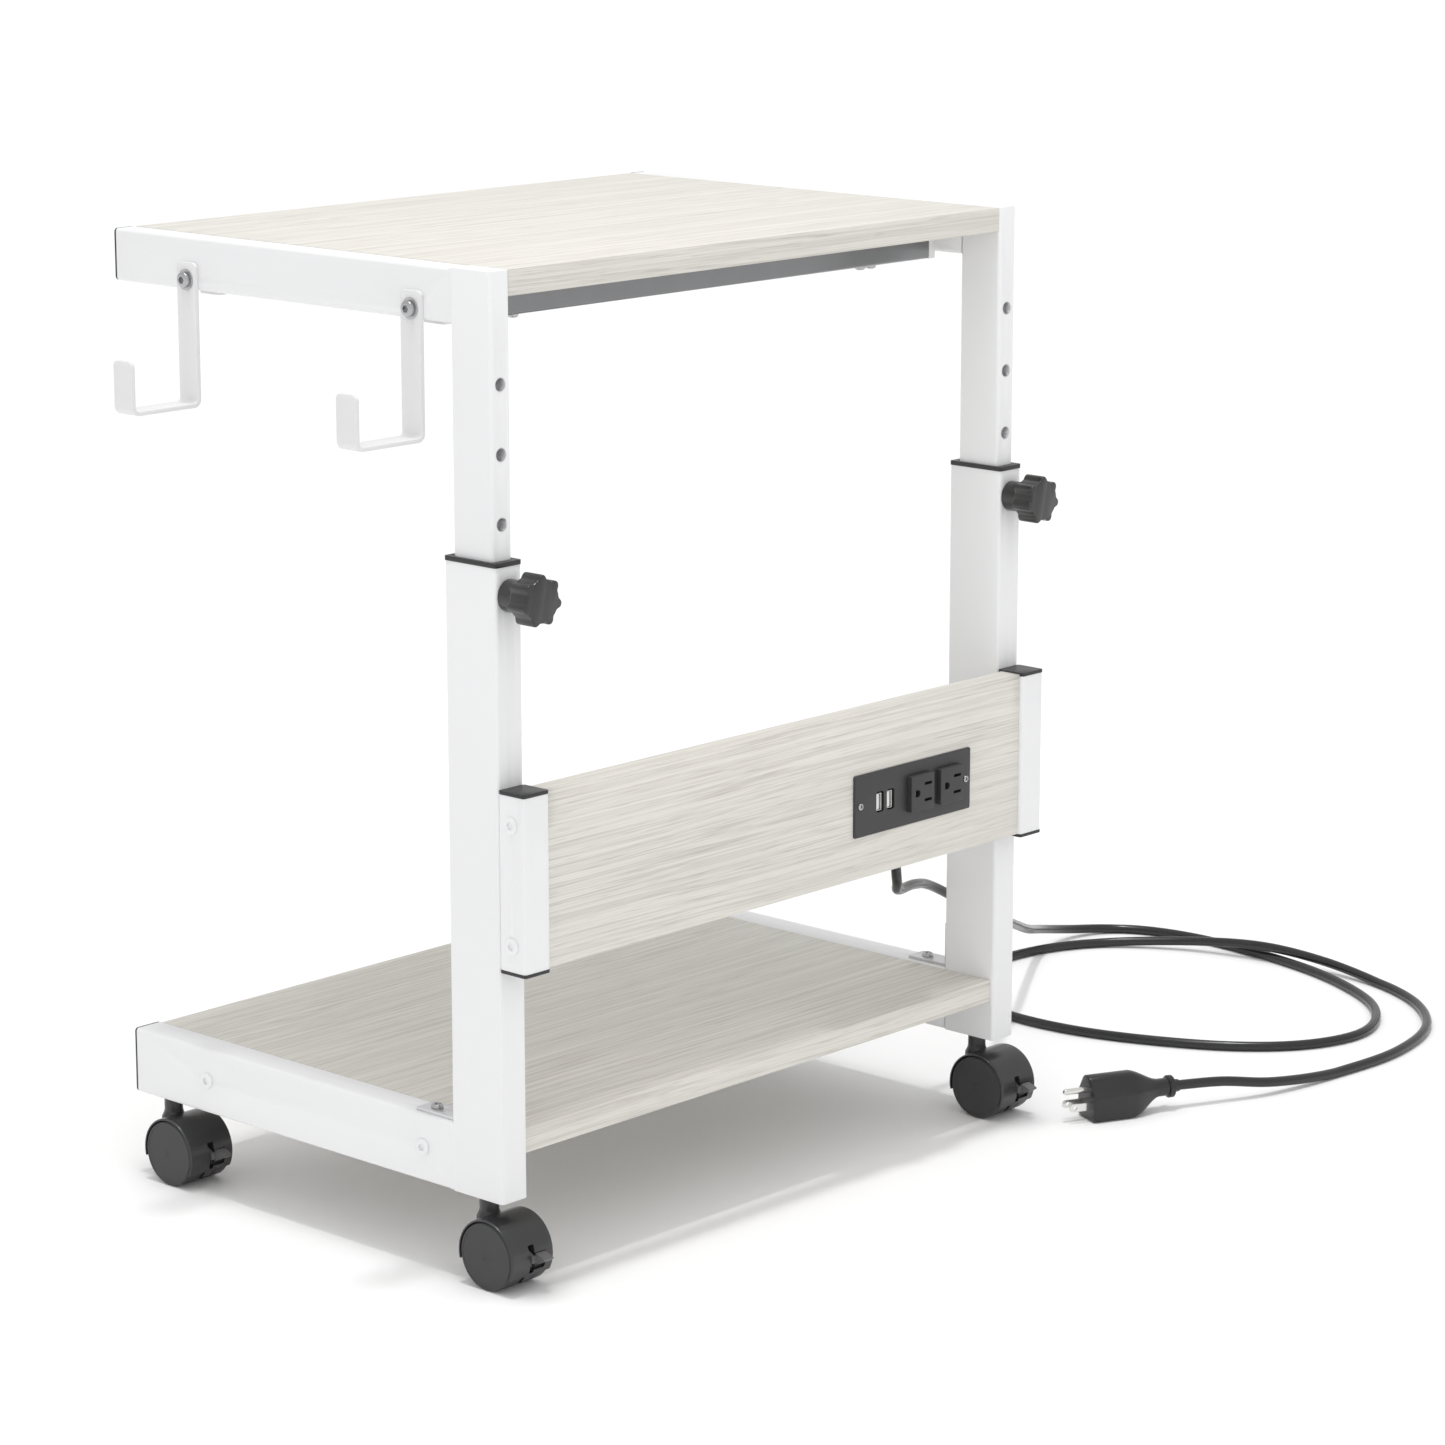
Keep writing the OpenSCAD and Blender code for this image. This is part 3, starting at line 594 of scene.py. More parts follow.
def refined(node: str, finish: Finish, edge: float = 0.4, limit: float = 38.0) -> bpy.types.Object:
    """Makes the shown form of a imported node: the same solid with eased edges.

    Args:
        node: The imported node.
        finish: Its finish.
        edge: How far its edges are eased, in millimetres.
        limit: The sharpest bend, in degrees, that counts as a curve.

    Returns:
        The piece that stands for the node.
    """
    source = frame["nodes"][node]
    bm = bmesh.new()
    bm.from_mesh(source.data)
    bmesh.ops.remove_doubles(bm, verts=bm.verts, dist=MERGE)
    bmesh.ops.dissolve_limit(bm, angle_limit=math.radians(FLAT), verts=bm.verts, edges=bm.edges)
    piece = solid(node + "_shown", bm)
    if edge:
        softened(piece, edge * MM, 2, limit)
    shaded(piece, limit)
    return settle(piece, finish, source["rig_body"], node)


def welds(name: str, body: str, across: tuple[float, float], low: tuple[float, float],
          high: tuple[float, float]) -> None:
    """Fills the corner, left and right, where a rail meets a leg, ground flush with both.

    Args:
        name: The piece's name.
        body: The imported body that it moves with.
        across: Where the left weld begins and ends along X.
        low: The least Y and Z.
        high: The greatest Y and Z.
    """
    bm = bmesh.new()
    for near, far in (across, (mirrored(across[1]), mirrored(across[0]))):
        slab(bm, spot(near, *low), spot(far, *high), 0.04 * MM, 0.1 * MM)
    made(name, bm, Finish.WHITE_COAT, body)


# ---- studio


@dataclass
class Studio:
    """The floor, the lights and the camera."""

    stand_off: tuple[float, float, float] = (-2.093656, -2.139002, 1.022794)
    yaw: float = 47.338
    dip: float = 12.736
    lens: float = 111.664
    sky: float = 0.79
    noon: float = 0.88
    fill: float = 0.12
    ceiling: float = 7.0
    floor_reach: float = 45.0

    def build(self) -> None:
        """Makes the whole studio."""
        self.camera()
        self.floor()
        self.lights()

    def camera(self) -> None:
        """Stands the camera off from the left leg's foot."""
        data = bpy.data.cameras.new("camera")
        data.sensor_width, data.lens, data.clip_end = 36.0, self.lens, 200.0
        camera = placed("camera", data)
        camera.location = LEG_FOOT + Vector(self.stand_off)
        camera.rotation_euler = (math.radians(90 - self.dip), 0.0, math.radians(-self.yaw))
        bpy.context.scene.camera = camera

    def floor(self) -> None:
        """Lays the pale floor."""
        bm = bmesh.new()
        bmesh.ops.create_grid(bm, x_segments=1, y_segments=1, size=self.floor_reach)
        floor = solid("floor", bm)
        g = Graph("studio_floor")
        cloud = g.noise(g.place(), 3, 3)
        g.set(Base_Color=g.mixed(cloud, (0.95, 0.95, 0.95), (0.965, 0.965, 0.965)))
        g.set(Roughness=0.75 + 0.1 * cloud, Specular_IOR_Level=0.2)
        floor.data.materials.append(g.material)

    def lights(self) -> None:
        """Hangs the soft lights."""
        world = bpy.data.worlds.new("studio_sky")
        world.use_nodes = True
        sky = world.node_tree.nodes["Background"].inputs
        sky["Color"].default_value, sky["Strength"].default_value = (1, 1, 1, 1), self.sky
        scene = bpy.context.scene
        scene.world = world
        scene.view_settings.view_transform = "Standard"
        self.lamp("noon", "SUN", self.noon, (0.0, 0.0, -1.0), angle=math.radians(4.0))
        place, target = Vector((-0.3, -0.3, 2.4)), Vector((0.05, 0.0, 0.2))
        self.lamp("ceiling_panel", "AREA", self.ceiling, target - place, size=0.7).location = place
        for name, way in (("front_fill", (0.25, 1.0, -0.3)), ("side_fill", (1.0, 0.25, -0.3))):
            self.lamp(name, "SUN", self.fill, way, angle=math.radians(60.0))

    @staticmethod
    def lamp(name: str, kind: str, power: float, direction: Sequence[float],
             **settings: float) -> bpy.types.Object:
        """Adds one lamp.

        Args:
            name: Its name.
            kind: SUN or AREA.
            power: A sun's strength, or an area's watts.
            direction: Where its light travels.
            settings: A sun's angle in radians, or an area's size.

        Returns:
            The lamp, at the origin.
        """
        data = bpy.data.lights.new(name, kind)
        data.energy = power
        for key, value in settings.items():
            setattr(data, key, value)
        lamp = placed(name, data)
        lamp.rotation_euler = Vector(direction).to_track_quat("-Z", "Y").to_euler()
        return lamp


# ---- power cord


@dataclass
class PowerCord:
    """The cord from the power unit's underside, its strain relief, and its plug."""

    diameter: float = 8.0
    exit_point: tuple[float, float, float] = (445.0, 20.0, 252.0)
    route: tuple[tuple[float, float, float], ...] = (
        (445, 20, 252), (445, 20, 238), (449, 23, 220), (460, 31, 203), (478, 45, 191),
        (520, 64, 184), (560, 80, 172), (620, 88, 142), (700, 125, 110), (790, 176, 75),
        (870, 228, 46), (940, 270, 24), (1000, 285, 9), (1044, 266, 4), (1066, 215, 4),
        (1067, 140, 4), (1048, 45, 4), (1010, -32, 4), (965, -73, 4), (915, -88, 4),
        (862, -72, 4), (818, -30, 4), (784, 35, 4), (765, 100, 4), (764, 165, 4),
        (786, 225, 4), (842, 268, 4), (920, 277, 4), (992, 250, 4), (1038, 190, 8),
        (1059, 120, 13), (1066, 55, 10), (1058, -12, 4), (1025, -75, 4), (970, -120, 4),
        (895, -140, 4), (815, -137, 4), (745, -126, 10), (700, -108, 17), (664, -91, 18.5))
    steps: int = 8
    plug_turn: float = 155.0
    neck_end: float = 19.0
    slope_end: float = 45.0
    body_end: float = 82.0
    half_width: float = 14.5
    half_height: float = 17.6
    neck_radius: float = 7.2
    blade_gap: float = 6.35

    def build(self) -> None:
        """Makes the plug first, then the cord that carries it."""
        plug, blades = self.plug(), self.blades()
        self.strain_relief()
        line = self.line()
        curve = bpy.data.curves.new("power_cord_run", "CURVE")
        curve.dimensions, curve.bevel_depth, curve.bevel_resolution = "3D", self.diameter / 2 * MM, 7
        curve.use_fill_caps = True
        spline = curve.splines.new("POLY")
        spline.points.add(len(line) - 1)
        for point, place in zip(spline.points, line):
            point.co = (*place, 1.0)
        spline.use_smooth = True
        cord = placed("power_cord_run", curve)
        settle(cord, Finish.CORD, "base", "power_cord")

    def line(self) -> list[Vector]:
        """The cord's centre line: one smooth curve through the route, never in the floor."""
        p = [Vector(point) for point in self.route]
        line = []
        for i in range(len(p) - 1):
            a, b, c, d = p[max(i - 1, 0)], p[i], p[i + 1], p[min(i + 2, len(p) - 1)]
            for k in range(self.steps):
                t = k / self.steps
                line.append(0.5 * (2 * b + (c - a) * t + (2 * a - 5 * b + 4 * c - d) * t * t
                                   + (3 * b - a - 3 * c + d) * t * t * t))
        line.append(p[-1])
        return [spot(q.x, q.y, max(q.z, self.diameter / 2)) for q in line]

    def strain_relief(self) -> None:
        """Makes the ribbed taper that the cord leaves the unit by."""
        low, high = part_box("cord_strain_relief")
        foot = Vector(((low.x + high.x) / 2, (low.y + high.y) / 2, low.z))
        profile = [(4.05, 0), (4.5, 0), (4.8, 0.3)]
        for rib in range(5):
            start, radius = 1.2 + 3.1 * rib, 5.0 + 0.22 * rib
            profile += [(radius - 0.7, start), (radius - 0.7, start + 0.8), (radius + 0.1, start + 1.1),
                        (radius + 0.2, start + 2.6)]
        profile += [(6.5, 17.2), (6.6, 17.5), (6.6, 20.0), (4.05, 20.0)]
        bm = bmesh.new()
        turned(bm, metres(profile), facing(foot, (0, 0, 1)), 40, closed=True)
        made("cord_relief_ribbed", bm, Finish.CORD, "base", "cord_strain_relief", limit=25)

    def plug_frame(self) -> Matrix:
        """The plug's own axes: X runs from the cord's end along the blades, Z is up."""
        turn = Matrix.Rotation(math.radians(self.plug_turn), 4, "Z")
        return Matrix.Translation(spot(*self.route[-1])) @ turn

    @staticmethod
    def around(outline: Outline, steps: int) -> Outline:
        """A star-shaped outline met by evenly turned rays from the middle.

        Args:
            outline: The outline, anticlockwise.
            steps: How many rays.

        Returns:
            One point for each ray.
        """
        points = []
        for k in range(steps):
            turn = 2 * math.pi * k / steps
            ray = Vector((math.cos(turn), math.sin(turn)))
            best = 0.0
            for (ax, ay), (bx, by) in zip(outline, outline[1:] + outline[:1]):
                side = Vector((bx - ax, by - ay))
                across = ray.x * side.y - ray.y * side.x
                if abs(across) > 1e-12:
                    reach = (ax * side.y - ay * side.x) / across
                    share = (ax * ray.y - ay * ray.x) / across
                    if reach > best and -1e-9 <= share <= 1 + 1e-9:
                        best = reach
            points.append((ray.x * best, ray.y * best))
        return points

    def plug(self) -> bpy.types.Object:
        """Makes the moulded plug and its own strain relief."""
        w, h, steps = self.half_width, self.half_height, 72
        shape = [(-w + 2, -h), (w - 2, -h), (w - 0.6, -h + 0.6), (w, -h + 2), (w, 1.5), (w - 0.5, 3.2),
                 (8.0, 12.9), (6.6, 15.3), (4.0, 17.0), (0, h), (-4.0, 17.0), (-6.6, 15.3), (-8.0, 12.9),
                 (-w + 0.5, 3.2), (-w, 1.5), (-w, -h + 2), (-w + 0.6, -h + 0.6)]
        full, round_ = self.around(shape, steps), circle(1.0, steps)
        rings = [(x, [(r * a, r * b) for a, b in round_]) for x, r in self.neck()]
        for k in range(1, 11):
            share = k / 10
            ease = 0.35 * share + 0.65 * share * share * (3 - 2 * share)
            thin = (1 - ease) * self.neck_radius
            ring = [(thin * a + ease * p, thin * b + ease * q) for (a, b), (p, q) in zip(round_, full)]
            rings.append((self.neck_end + (self.slope_end - self.neck_end) * share, ring))
        for back, scale in ((1.2, 1.0), (0.5, 0.985), (0.1, 0.95), (0.0, 0.91)):
            rings.append((self.body_end - back, [(scale * p, scale * q) for p, q in full]))
        at = self.plug_frame() @ facing((0, 0, 0), (1, 0, 0))
        bm = bmesh.new()
        stack(bm, [(metres(ring), x * MM) for x, ring in rings], at)
        return made("plug_moulding", bm, Finish.CORD, "base", "plug_body", limit=24)

    def neck(self) -> list[tuple[float, float]]:
        """Places along the plug and radii of its sleeve, flange and neck."""
        return [(0.0, 4.3), (0.4, 4.9), (5.2, 5.5), (5.6, 5.8), (5.9, 8.2), (6.5, 9.0), (9.9, 9.0),
                (10.6, 8.3), (11.0, self.neck_radius), (self.neck_end, self.neck_radius)]

    def blades(self) -> bpy.types.Object:
        """Makes the two holed blades and the domed earth pin."""
        own = self.plug_frame()
        bm, holes = bmesh.new(), bmesh.new()
        outline = [(0, -3.2), (15.9, -3.2), (17.5, -1.6), (17.5, 1.6), (15.9, 3.2), (0, 3.2)]
        for side in (-self.blade_gap, self.blade_gap):
            at = own @ Matrix.Translation(local(self.body_end, side, -5.95))
            rings = []
            for inset, y in ((0.3, -0.75), (0.0, -0.45), (0.0, 0.45), (0.3, 0.75)):
                rings.append([at @ local(px - inset * (px > 1), y, pz * (1 - inset / 3.2))
                              for px, pz in outline])
            loft(bm, rings)
            turned(holes, metres([(1.6, -3), (1.6, 3)]),
                   at @ facing(local(13, 0, 0), (0, 1, 0)), 24)
        pin = own @ facing(local(self.body_end, 0, 5.95), (1, 0, 0))
        profile = [(2.4, -0.5), (2.4, 18.0), (2.25, 18.9), (1.75, 19.7), (1.0, 20.2), (0, 20.4)]
        turned(bm, metres(profile), pin, 28)
        return made("plug_blades_plated", bm, Finish.BLADE, "base", "plug_blades", limit=30, cuts=holes)


# ---- fasteners


class Drive(Enum):
    """The recess in a screw's head."""

    CROSS = "cross"
    HEX = "hex"


@dataclass
class Fasteners:
    """A set of equal screws, made as one piece."""

    name: str
    node: str
    body: str
    finish: Finish
    drive: Drive
    head: tuple[float, float]
    shank: tuple[float, float]
    places: Sequence[tuple[tuple[float, float, float], tuple[float, float, float]]]
    dome: float = 0.5
    washer: tuple[float, float] = (0.0, 0.0)

    def build(self) -> None:
        """Makes every screw and cuts every recess."""
        screws, recesses = bmesh.new(), bmesh.new()
        for place, direction in self.places:
            at = facing(spot(*place), direction)
            turned(screws, metres(self.profile()), at, 40)
            self.recess(recesses, at)
        made(self.name, screws, self.finish, self.body, self.node, limit=30, cuts=recesses)

    def profile(self) -> list[tuple[float, float]]:
        """Radii and heights of a screw from its tip to the top of its head, seat at zero."""
        radius, height = self.head[0] / 2, self.head[1]
        washer, thick = self.washer[0] / 2, self.washer[1]
        flank = height * (1 - self.dome)
        points = [(0, -self.shank[1]), (self.shank[0] / 2 - 0.4, -self.shank[1]),
                  (self.shank[0] / 2, -self.shank[1] + 0.4), (self.shank[0] / 2, 0.0)]
        if thick:
            points += [(washer - 0.2, 0.0), (washer, 0.2), (washer, thick - 0.2), (washer - 0.2, thick)]
        points += [(radius - 0.15, thick), (radius, thick + 0.15)]
        for k in range(7):
            turn = math.pi / 2 * k / 6
            points.append((radius * (0.55 + 0.45 * math.cos(turn)),
                           thick + flank + height * self.dome * math.sin(turn)))
        return points + [(0, thick + height)]

    def recess(self, bm: bmesh.types.BMesh, at: Matrix) -> None:
        """Adds the recess's form for one screw."""
        top = self.head[1] + self.washer[1]
        depth = self.head[1] * (0.8 if self.drive is Drive.CROSS else 0.75)
        if self.drive is Drive.HEX:
            hexagon = circle(self.head[0] * 0.25 * MM, 6)
            stack(bm, [(hexagon, z * MM) for z in (top - depth, top + 1)], at)
            return
        long, short = self.head[0] * 0.33 * MM, self.head[0] * 0.075 * MM
        arm, plus = [(long, short), (short, short), (short, long)], []
        for _ in range(4):
            plus += arm
            arm = [(-y, x) for x, y in arm]
        turn = at @ Matrix.Rotation(math.radians(28), 4, "Z")
        small = [(0.5 * x, 0.5 * y) for x, y in plus]
        stack(bm, [(small, (top - depth) * MM), (plus, (top - 0.1) * MM), (plus, (top + 1) * MM)], turn)


# ---- base


@dataclass
class BaseFrame:
    """The lower tubes, their cross bars, guides, caps and bottom fittings."""

    coated: tuple[str, ...] = ("lower_legs", "base_rails", "panel_posts", "base_crossbars")
    capped: tuple[str, ...] = ("guide_collars", "base_rail_caps", "panel_post_caps")
    bolt_rows: tuple[float, float] = (80.0, 313.0)
    bolt_height: float = 89.0
    post_screws: tuple[float, float] = (254.0, 340.0)

    def build(self) -> None:
        """Makes the base."""
        for node in self.coated:
            refined(node, Finish.WHITE_COAT, 0.5)
        for node in self.capped:
            refined(node, Finish.CAP, 0.3)
        refined("caster_sockets", Finish.SOCKET, 0.4)
        refined("knob_bushes", Finish.SCREW, 0.2)
        refined("corner_braces", Finish.BRACE, 0.35)
        welds("base_welds", "base", (0.04, 2.6), (46.5, 64.2), (52.0, 112.8))
        self.screws()

    def screws(self) -> None:
        """Makes the base's bolts and screws."""
        outward = ((-1.0, 0.0, 0.0), (1.0, 0.0, 0.0))
        Fasteners("base_bolts_shown", "base_bolts", "base", Finish.WHITE_COAT, Drive.HEX, (12.0, 2.0),
                  (6.0, 30.0),
                  [((x, y, self.bolt_height), way) for x, way in zip((0.0, FRAME_WIDTH), outward)
                   for y in self.bolt_rows], 0.35).build()
        Fasteners("panel_screws_shown", "panel_screws", "base", Finish.WHITE_COAT, Drive.HEX,
                  (12.0, 1.5), (6.0, 30.0),
                  [((x, -12.5, z), way) for x, way in zip((0.0, FRAME_WIDTH), outward)
                   for z in self.post_screws], 0.35).build()
        Fasteners("brace_screws_shown", "brace_screws", "base", Finish.SCREW, Drive.CROSS, (9.0, 3.0),
                  (4.0, 7.5),
                  [(place, way) for x in (12.5, mirrored(12.5))
                   for place, way in (((x, 52.5, 139.5), (0.0, 1.0, 0.0)),
                                      ((x, 78.0, 116.0), (0.0, 0.0, 1.0)))], 0.7).build()


@dataclass
class Boards:
    """The three laminate boards."""

    ease: float = 0.6

    def build(self) -> None:
        """Makes the boards."""
        for node in ("bottom_board", "top_board", "front_panel"):
            refined(node, Finish.OAK, self.ease)


# ---- power unit


@dataclass
class PowerUnit:
    """The faceplate with its outlets and USB ports, and the housing behind it."""

    plate: tuple[float, float, float] = (134.0, 47.5, 2.0)
    centre: tuple[float, float, float] = (413.5, -22.0, 291.5)
    outlets: tuple[float, float] = (419.5, 453.7)
    outlet_size: tuple[float, float, float] = (26.5, 28.0, 20.0)
    outlet_rise: float = 4.5
    ports: tuple[float, float] = (374.0, 386.0)
    port_size: tuple[float, float] = (5.8, 13.4)
    tongue: tuple[float, float, float] = (2.9, 11.8, 12.0)
    shell_depth: float = 13.5
    shell_proud: float = 1.5
    screw_reach: float = 61.0

    def build(self) -> None:
        """Makes the unit."""
        refined("power_housing", Finish.POWER, 0.5)
        refined("outlet_contacts", Finish.BRASS, 0.1)
        self.faceplate()
        self.outlet_blocks()
        self.usb_ports()
        x, _, z = self.centre
        front = self.centre[1] - self.plate[2]
        Fasteners("faceplate_screws_shown", "faceplate_screws", "base", Finish.SCREW, Drive.CROSS,
                  (5.4, 1.4), (2.9, 11.0),
                  [((x + side * self.screw_reach, front, z), (0.0, -1.0, 0.0)) for side in (-1, 1)],
                  0.7).build()

    def front(self, x: float, rise: float = 0.0) -> Matrix:
        """Axes on the plate's back plane that look out of the front, at a place across it."""
        return facing(spot(x, self.centre[1] - rise, self.centre[2]), (0, -1, 0))

    def faceplate(self) -> None:
        """Makes the plate, with its windows."""
        width, height, thick = (v * MM for v in self.plate)
        layers = []
        for inset, z in ((0.0, 0.0), (0.0, 1.35), (0.2, 1.7), (0.65, 1.95), (0.9, 2.0)):
            radius = (1.5 - inset) * MM
            layers.append((rectangle(width - 2 * inset * MM, height - 2 * inset * MM, radius), z * MM))
        bm, windows = bmesh.new(), bmesh.new()
        stack(bm, layers, self.front(self.centre[0]))
        for x in self.outlets:
            block(windows, ((self.outlet_size[0] + 0.3) * MM, (self.outlet_size[1] + 0.3) * MM, 9 * MM),
                  self.front(x, -4), 1.8 * MM, CRISP, 2)
        for x in self.ports:
            block(windows, ((self.port_size[0] + 2.8) * MM, (self.port_size[1] + 2.4) * MM, 9 * MM),
                  self.front(x + 0.9, -4), 1.7 * MM, CRISP, 1)
        made("faceplate_shown", bm, Finish.POWER, "base", "power_faceplate", limit=25, cuts=windows)

    def outlet_blocks(self) -> None:
        """Makes the raised outlets, with their slots."""
        width, height, length = self.outlet_size
        bm, slots = bmesh.new(), bmesh.new()
        for x in self.outlets:
            back = self.front(x, self.plate[2] + self.outlet_rise - length)
            block(bm, (width * MM, height * MM, length * MM), back, 1.6 * MM, 0.55 * MM, 4)
            face = self.front(x, self.plate[2] + self.outlet_rise - 8)
            for dz in (-6.35, 6.35):
                middle = face @ Matrix.Translation(local(6.0, dz, 0))
                block(slots, (8.4 * MM, 2.2 * MM, 12 * MM), middle, 0.25 * MM, CRISP, 2)
            hole = face @ Matrix.Translation(local(-5.9, 0, 0))
            stack(slots, [(self.earth_outline(), z) for z in (0.0, 12 * MM)], hole)
        made("outlets_shown", bm, Finish.POWER, "base", "outlet_blocks", limit=25, cuts=slots)

    @staticmethod
    def earth_outline() -> Outline:
        """The earth hole: flat on the left and round on the right."""
        radius = 2.7 * MM
        arc = [(radius * math.cos(t * math.pi / 20), radius * math.sin(t * math.pi / 20))
               for t in range(-10, 11)]
        return [(-radius, -radius), *arc, (-radius, radius)]

    def usb_ports(self) -> None:
        """Makes the USB shells and their tongues."""
        width, height = self.port_size
        shells, tongues = bmesh.new(), bmesh.new()
        for x in self.ports:
            back = self.front(x, self.shell_proud - self.shell_depth)
            rings = []
            end = self.shell_depth
            for grow, z in ((0.0, 0.0), (0.0, end - 0.2), (-0.15, end), (-0.4, end), (-0.55, end - 0.3),
                            (-0.55, 0.0)):
                outline = rectangle((width + 2 * grow) * MM, (height + 2 * grow) * MM,
                                    (0.7 + grow) * MM)
                rings.append([back @ Vector((a, b, z * MM)) for a, b in outline])
            loft(shells, rings, closed=True)
            at = back @ Matrix.Translation(local(-0.75, 0, 1.0))
            block(tongues, [v * MM for v in self.tongue], at, 0.7 * MM, 0.25 * MM, 2)
        made("usb_shells_shown", shells, Finish.USB_SHELL, "base", "usb_shells")
        made("usb_tongues_shown", tongues, Finish.USB_TONGUE, "base", "usb_tongues")


# ---- upper frame


@dataclass
class UpperFrame:
    """The sliding legs and top rails, with the cross bars, hooks and bolts."""

    hook_rows: tuple[float, float] = (80.0, 313.0)
    bolt_height: float = 688.0
    bar_screws: tuple[float, ...] = (86.0, 98.0, 468.0, 480.0)
    bar_underside: float = 675.5
    index_heights: tuple[float, ...] = (401.5, 449.5, 497.5, 545.5, 593.5, 641.5)
    leg_front: float = 6.0

    def build(self) -> None:
        """Makes the upper frame."""
        self.index_nuts()
        refined("upper_legs", Finish.WHITE_COAT, 0.4)
        refined("top_rails", Finish.WHITE_COAT, 0.4)
        refined("top_rail_caps", Finish.CAP, 0.3)
        refined("inner_leg_glides", Finish.SOCKET, 0.3)
        refined("top_crossbars", Finish.BAR_STEEL, 0.5)
        refined("crossbar_ends", Finish.BAR_END, 0.4)
        refined("accessory_hooks", Finish.HOOK_COAT, 0.45, 30)
        self.bolts()
        welds("top_welds", "upper_frame", (3.04, 5.4), (41.0, 681.2), (46.0, 717.9))

    def index_nuts(self) -> None:
        """Makes the blind threaded nuts that line the index holes, flush with the legs' fronts."""
        profile = [(5.0, 11.5), (5.0, 0.0), (4.95, -0.12), (4.75, -0.18), (4.45, 0.1), (4.3, 0.7)]
        turn = 1.0
        while turn < 9.0:
            profile += [(4.1, turn), (4.35, turn + 0.5)]
            turn += 1.0
        profile += [(4.1, 10.4), (0.0, 10.6)]
        bm = bmesh.new()
        for x in (12.5, mirrored(12.5)):
            for z in self.index_heights:
                at = facing(spot(x, self.leg_front, z), (0, 1, 0))
                turned(bm, metres([(0.0, 11.5), *profile]), at, 40)
        made("index_nuts", bm, Finish.BRACE, "upper_frame", limit=24)

    def bolts(self) -> None:
        """Makes the bolts that hold the hooks, and the screws below the cross bars."""
        sides = ((0.0, (-1.0, 0.0, 0.0)), (mirrored(3.0), (1.0, 0.0, 0.0)))
        Fasteners("hook_bolts_shown", "hook_bolts", "upper_frame", Finish.SCREW, Drive.HEX, (11.5, 3.5),
                  (6.0, 36.0),
                  [((x, y, self.bolt_height), way) for x, way in sides for y in self.hook_rows],
                  0.45, (15.0, 1.2)).build()
        Fasteners("crossbar_screws_shown", "crossbar_screws", "upper_frame", Finish.SCREW, Drive.CROSS,
                  (8.5, 3.2), (4.0, 36.0),
                  [((x, y, self.bar_underside), (0.0, 0.0, -1.0)) for x in self.bar_screws
                   for y in self.hook_rows], 0.7).build()


# ---- knobs


@dataclass
class ClampKnob:
    """One lobed knob and its threaded stud."""

    side: str
    lobes: int = 7
    hub: float = 11.5
    valley: float = 15.3
    lobe_centre: float = 15.1
    lobe_radius: float = 3.45
    steps: int = 168

    def build(self) -> None:
        """Makes the knob."""
        low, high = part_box(self.side + "_knob_stud")
        centre = (low + high) / 2
        self.grip(centre)
        self.stud(centre)

    def lobed(self, scale: float, blend: float) -> Outline:
        """An outline between the hub's circle and the lobed head, first lobe uppermost."""
        reach = [self.reach(2 * math.pi * k / self.steps) for k in range(self.steps)]
        for _ in range(3):
            reach = [(reach[k - 1] + 2 * reach[k] + reach[(k + 1) % self.steps]) / 4
                     for k in range(self.steps)]
        points = []
        for k, head in enumerate(reach):
            turn = 2 * math.pi * k / self.steps
            radius = ((1 - blend) * self.hub + blend * scale * head) * MM
            points.append((radius * math.cos(turn), radius * math.sin(turn)))
        return points

    def reach(self, turn: float) -> float:
        """How far the head reaches at an angle: a core with a round lobe at each seventh."""
        pitch = 2 * math.pi / self.lobes
        off = (turn - math.pi / 2 + pitch / 2) % pitch - pitch / 2
        side = self.lobe_centre * math.sin(off)
        if abs(side) >= self.lobe_radius:
            return self.valley
        lobe = self.lobe_centre * math.cos(off) + math.sqrt(self.lobe_radius ** 2 - side ** 2)
        return max(lobe, self.valley)

    def grip(self, centre: Vector) -> None:
        """Makes the hub and the head."""
        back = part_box(self.side + "_knob_grip")[1].y
        at = facing((centre.x, back, centre.z), (0, -1, 0))
        shape = [(0.0, 0.96, 0.0), (0.5, 1.0, 0.0), (14.2, 1.0, 0.0), (14.8, 0.98, 0.25),
                 (15.1, 0.96, 0.7), (15.4, 0.975, 0.94), (15.9, 0.99, 1.0), (16.6, 1.0, 1.0), (31.9, 1.0, 1.0),
                 (32.5, 0.99, 1.0), (32.85, 0.968, 1.0), (33.0, 0.94, 1.0)]
        layers = []
        for z, scale, share in shape:
            outline = self.lobed(scale, share)
            if share == 0.0:
                outline = [(scale * x, scale * y) for x, y in outline]
            layers.append((outline, z * MM))
        bm = bmesh.new()
        stack(bm, layers, at)
        made(self.side + "_knob_moulding", bm, Finish.KNOB, self.side + "_grip",
             self.side + "_knob_grip", limit=34)

    def stud(self, centre: Vector) -> None:
        """Makes the stud, its thread cut as rings towards the tip."""
        low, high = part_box(self.side + "_knob_stud")
        length = (high.y - low.y) / MM
        profile = [(0.0, 0.0), (3.9, 0.0), (3.9, 15.0)]
        turn = 15.2
        while turn < length - 1.4:
            profile += [(3.95, turn), (3.35, turn + 0.6), (3.95, turn + 1.2)]
            turn += 1.25
        profile += [(3.2, length - 0.2), (2.9, length), (0.0, length)]
        bm = bmesh.new()
        turned(bm, metres(profile), facing((centre.x, low.y, centre.z), (0, 1, 0)), 36)
        made(self.side + "_knob_stud_shown", bm, Finish.SCREW, self.side + "_stud",
             self.side + "_knob_stud")


# ---- casters


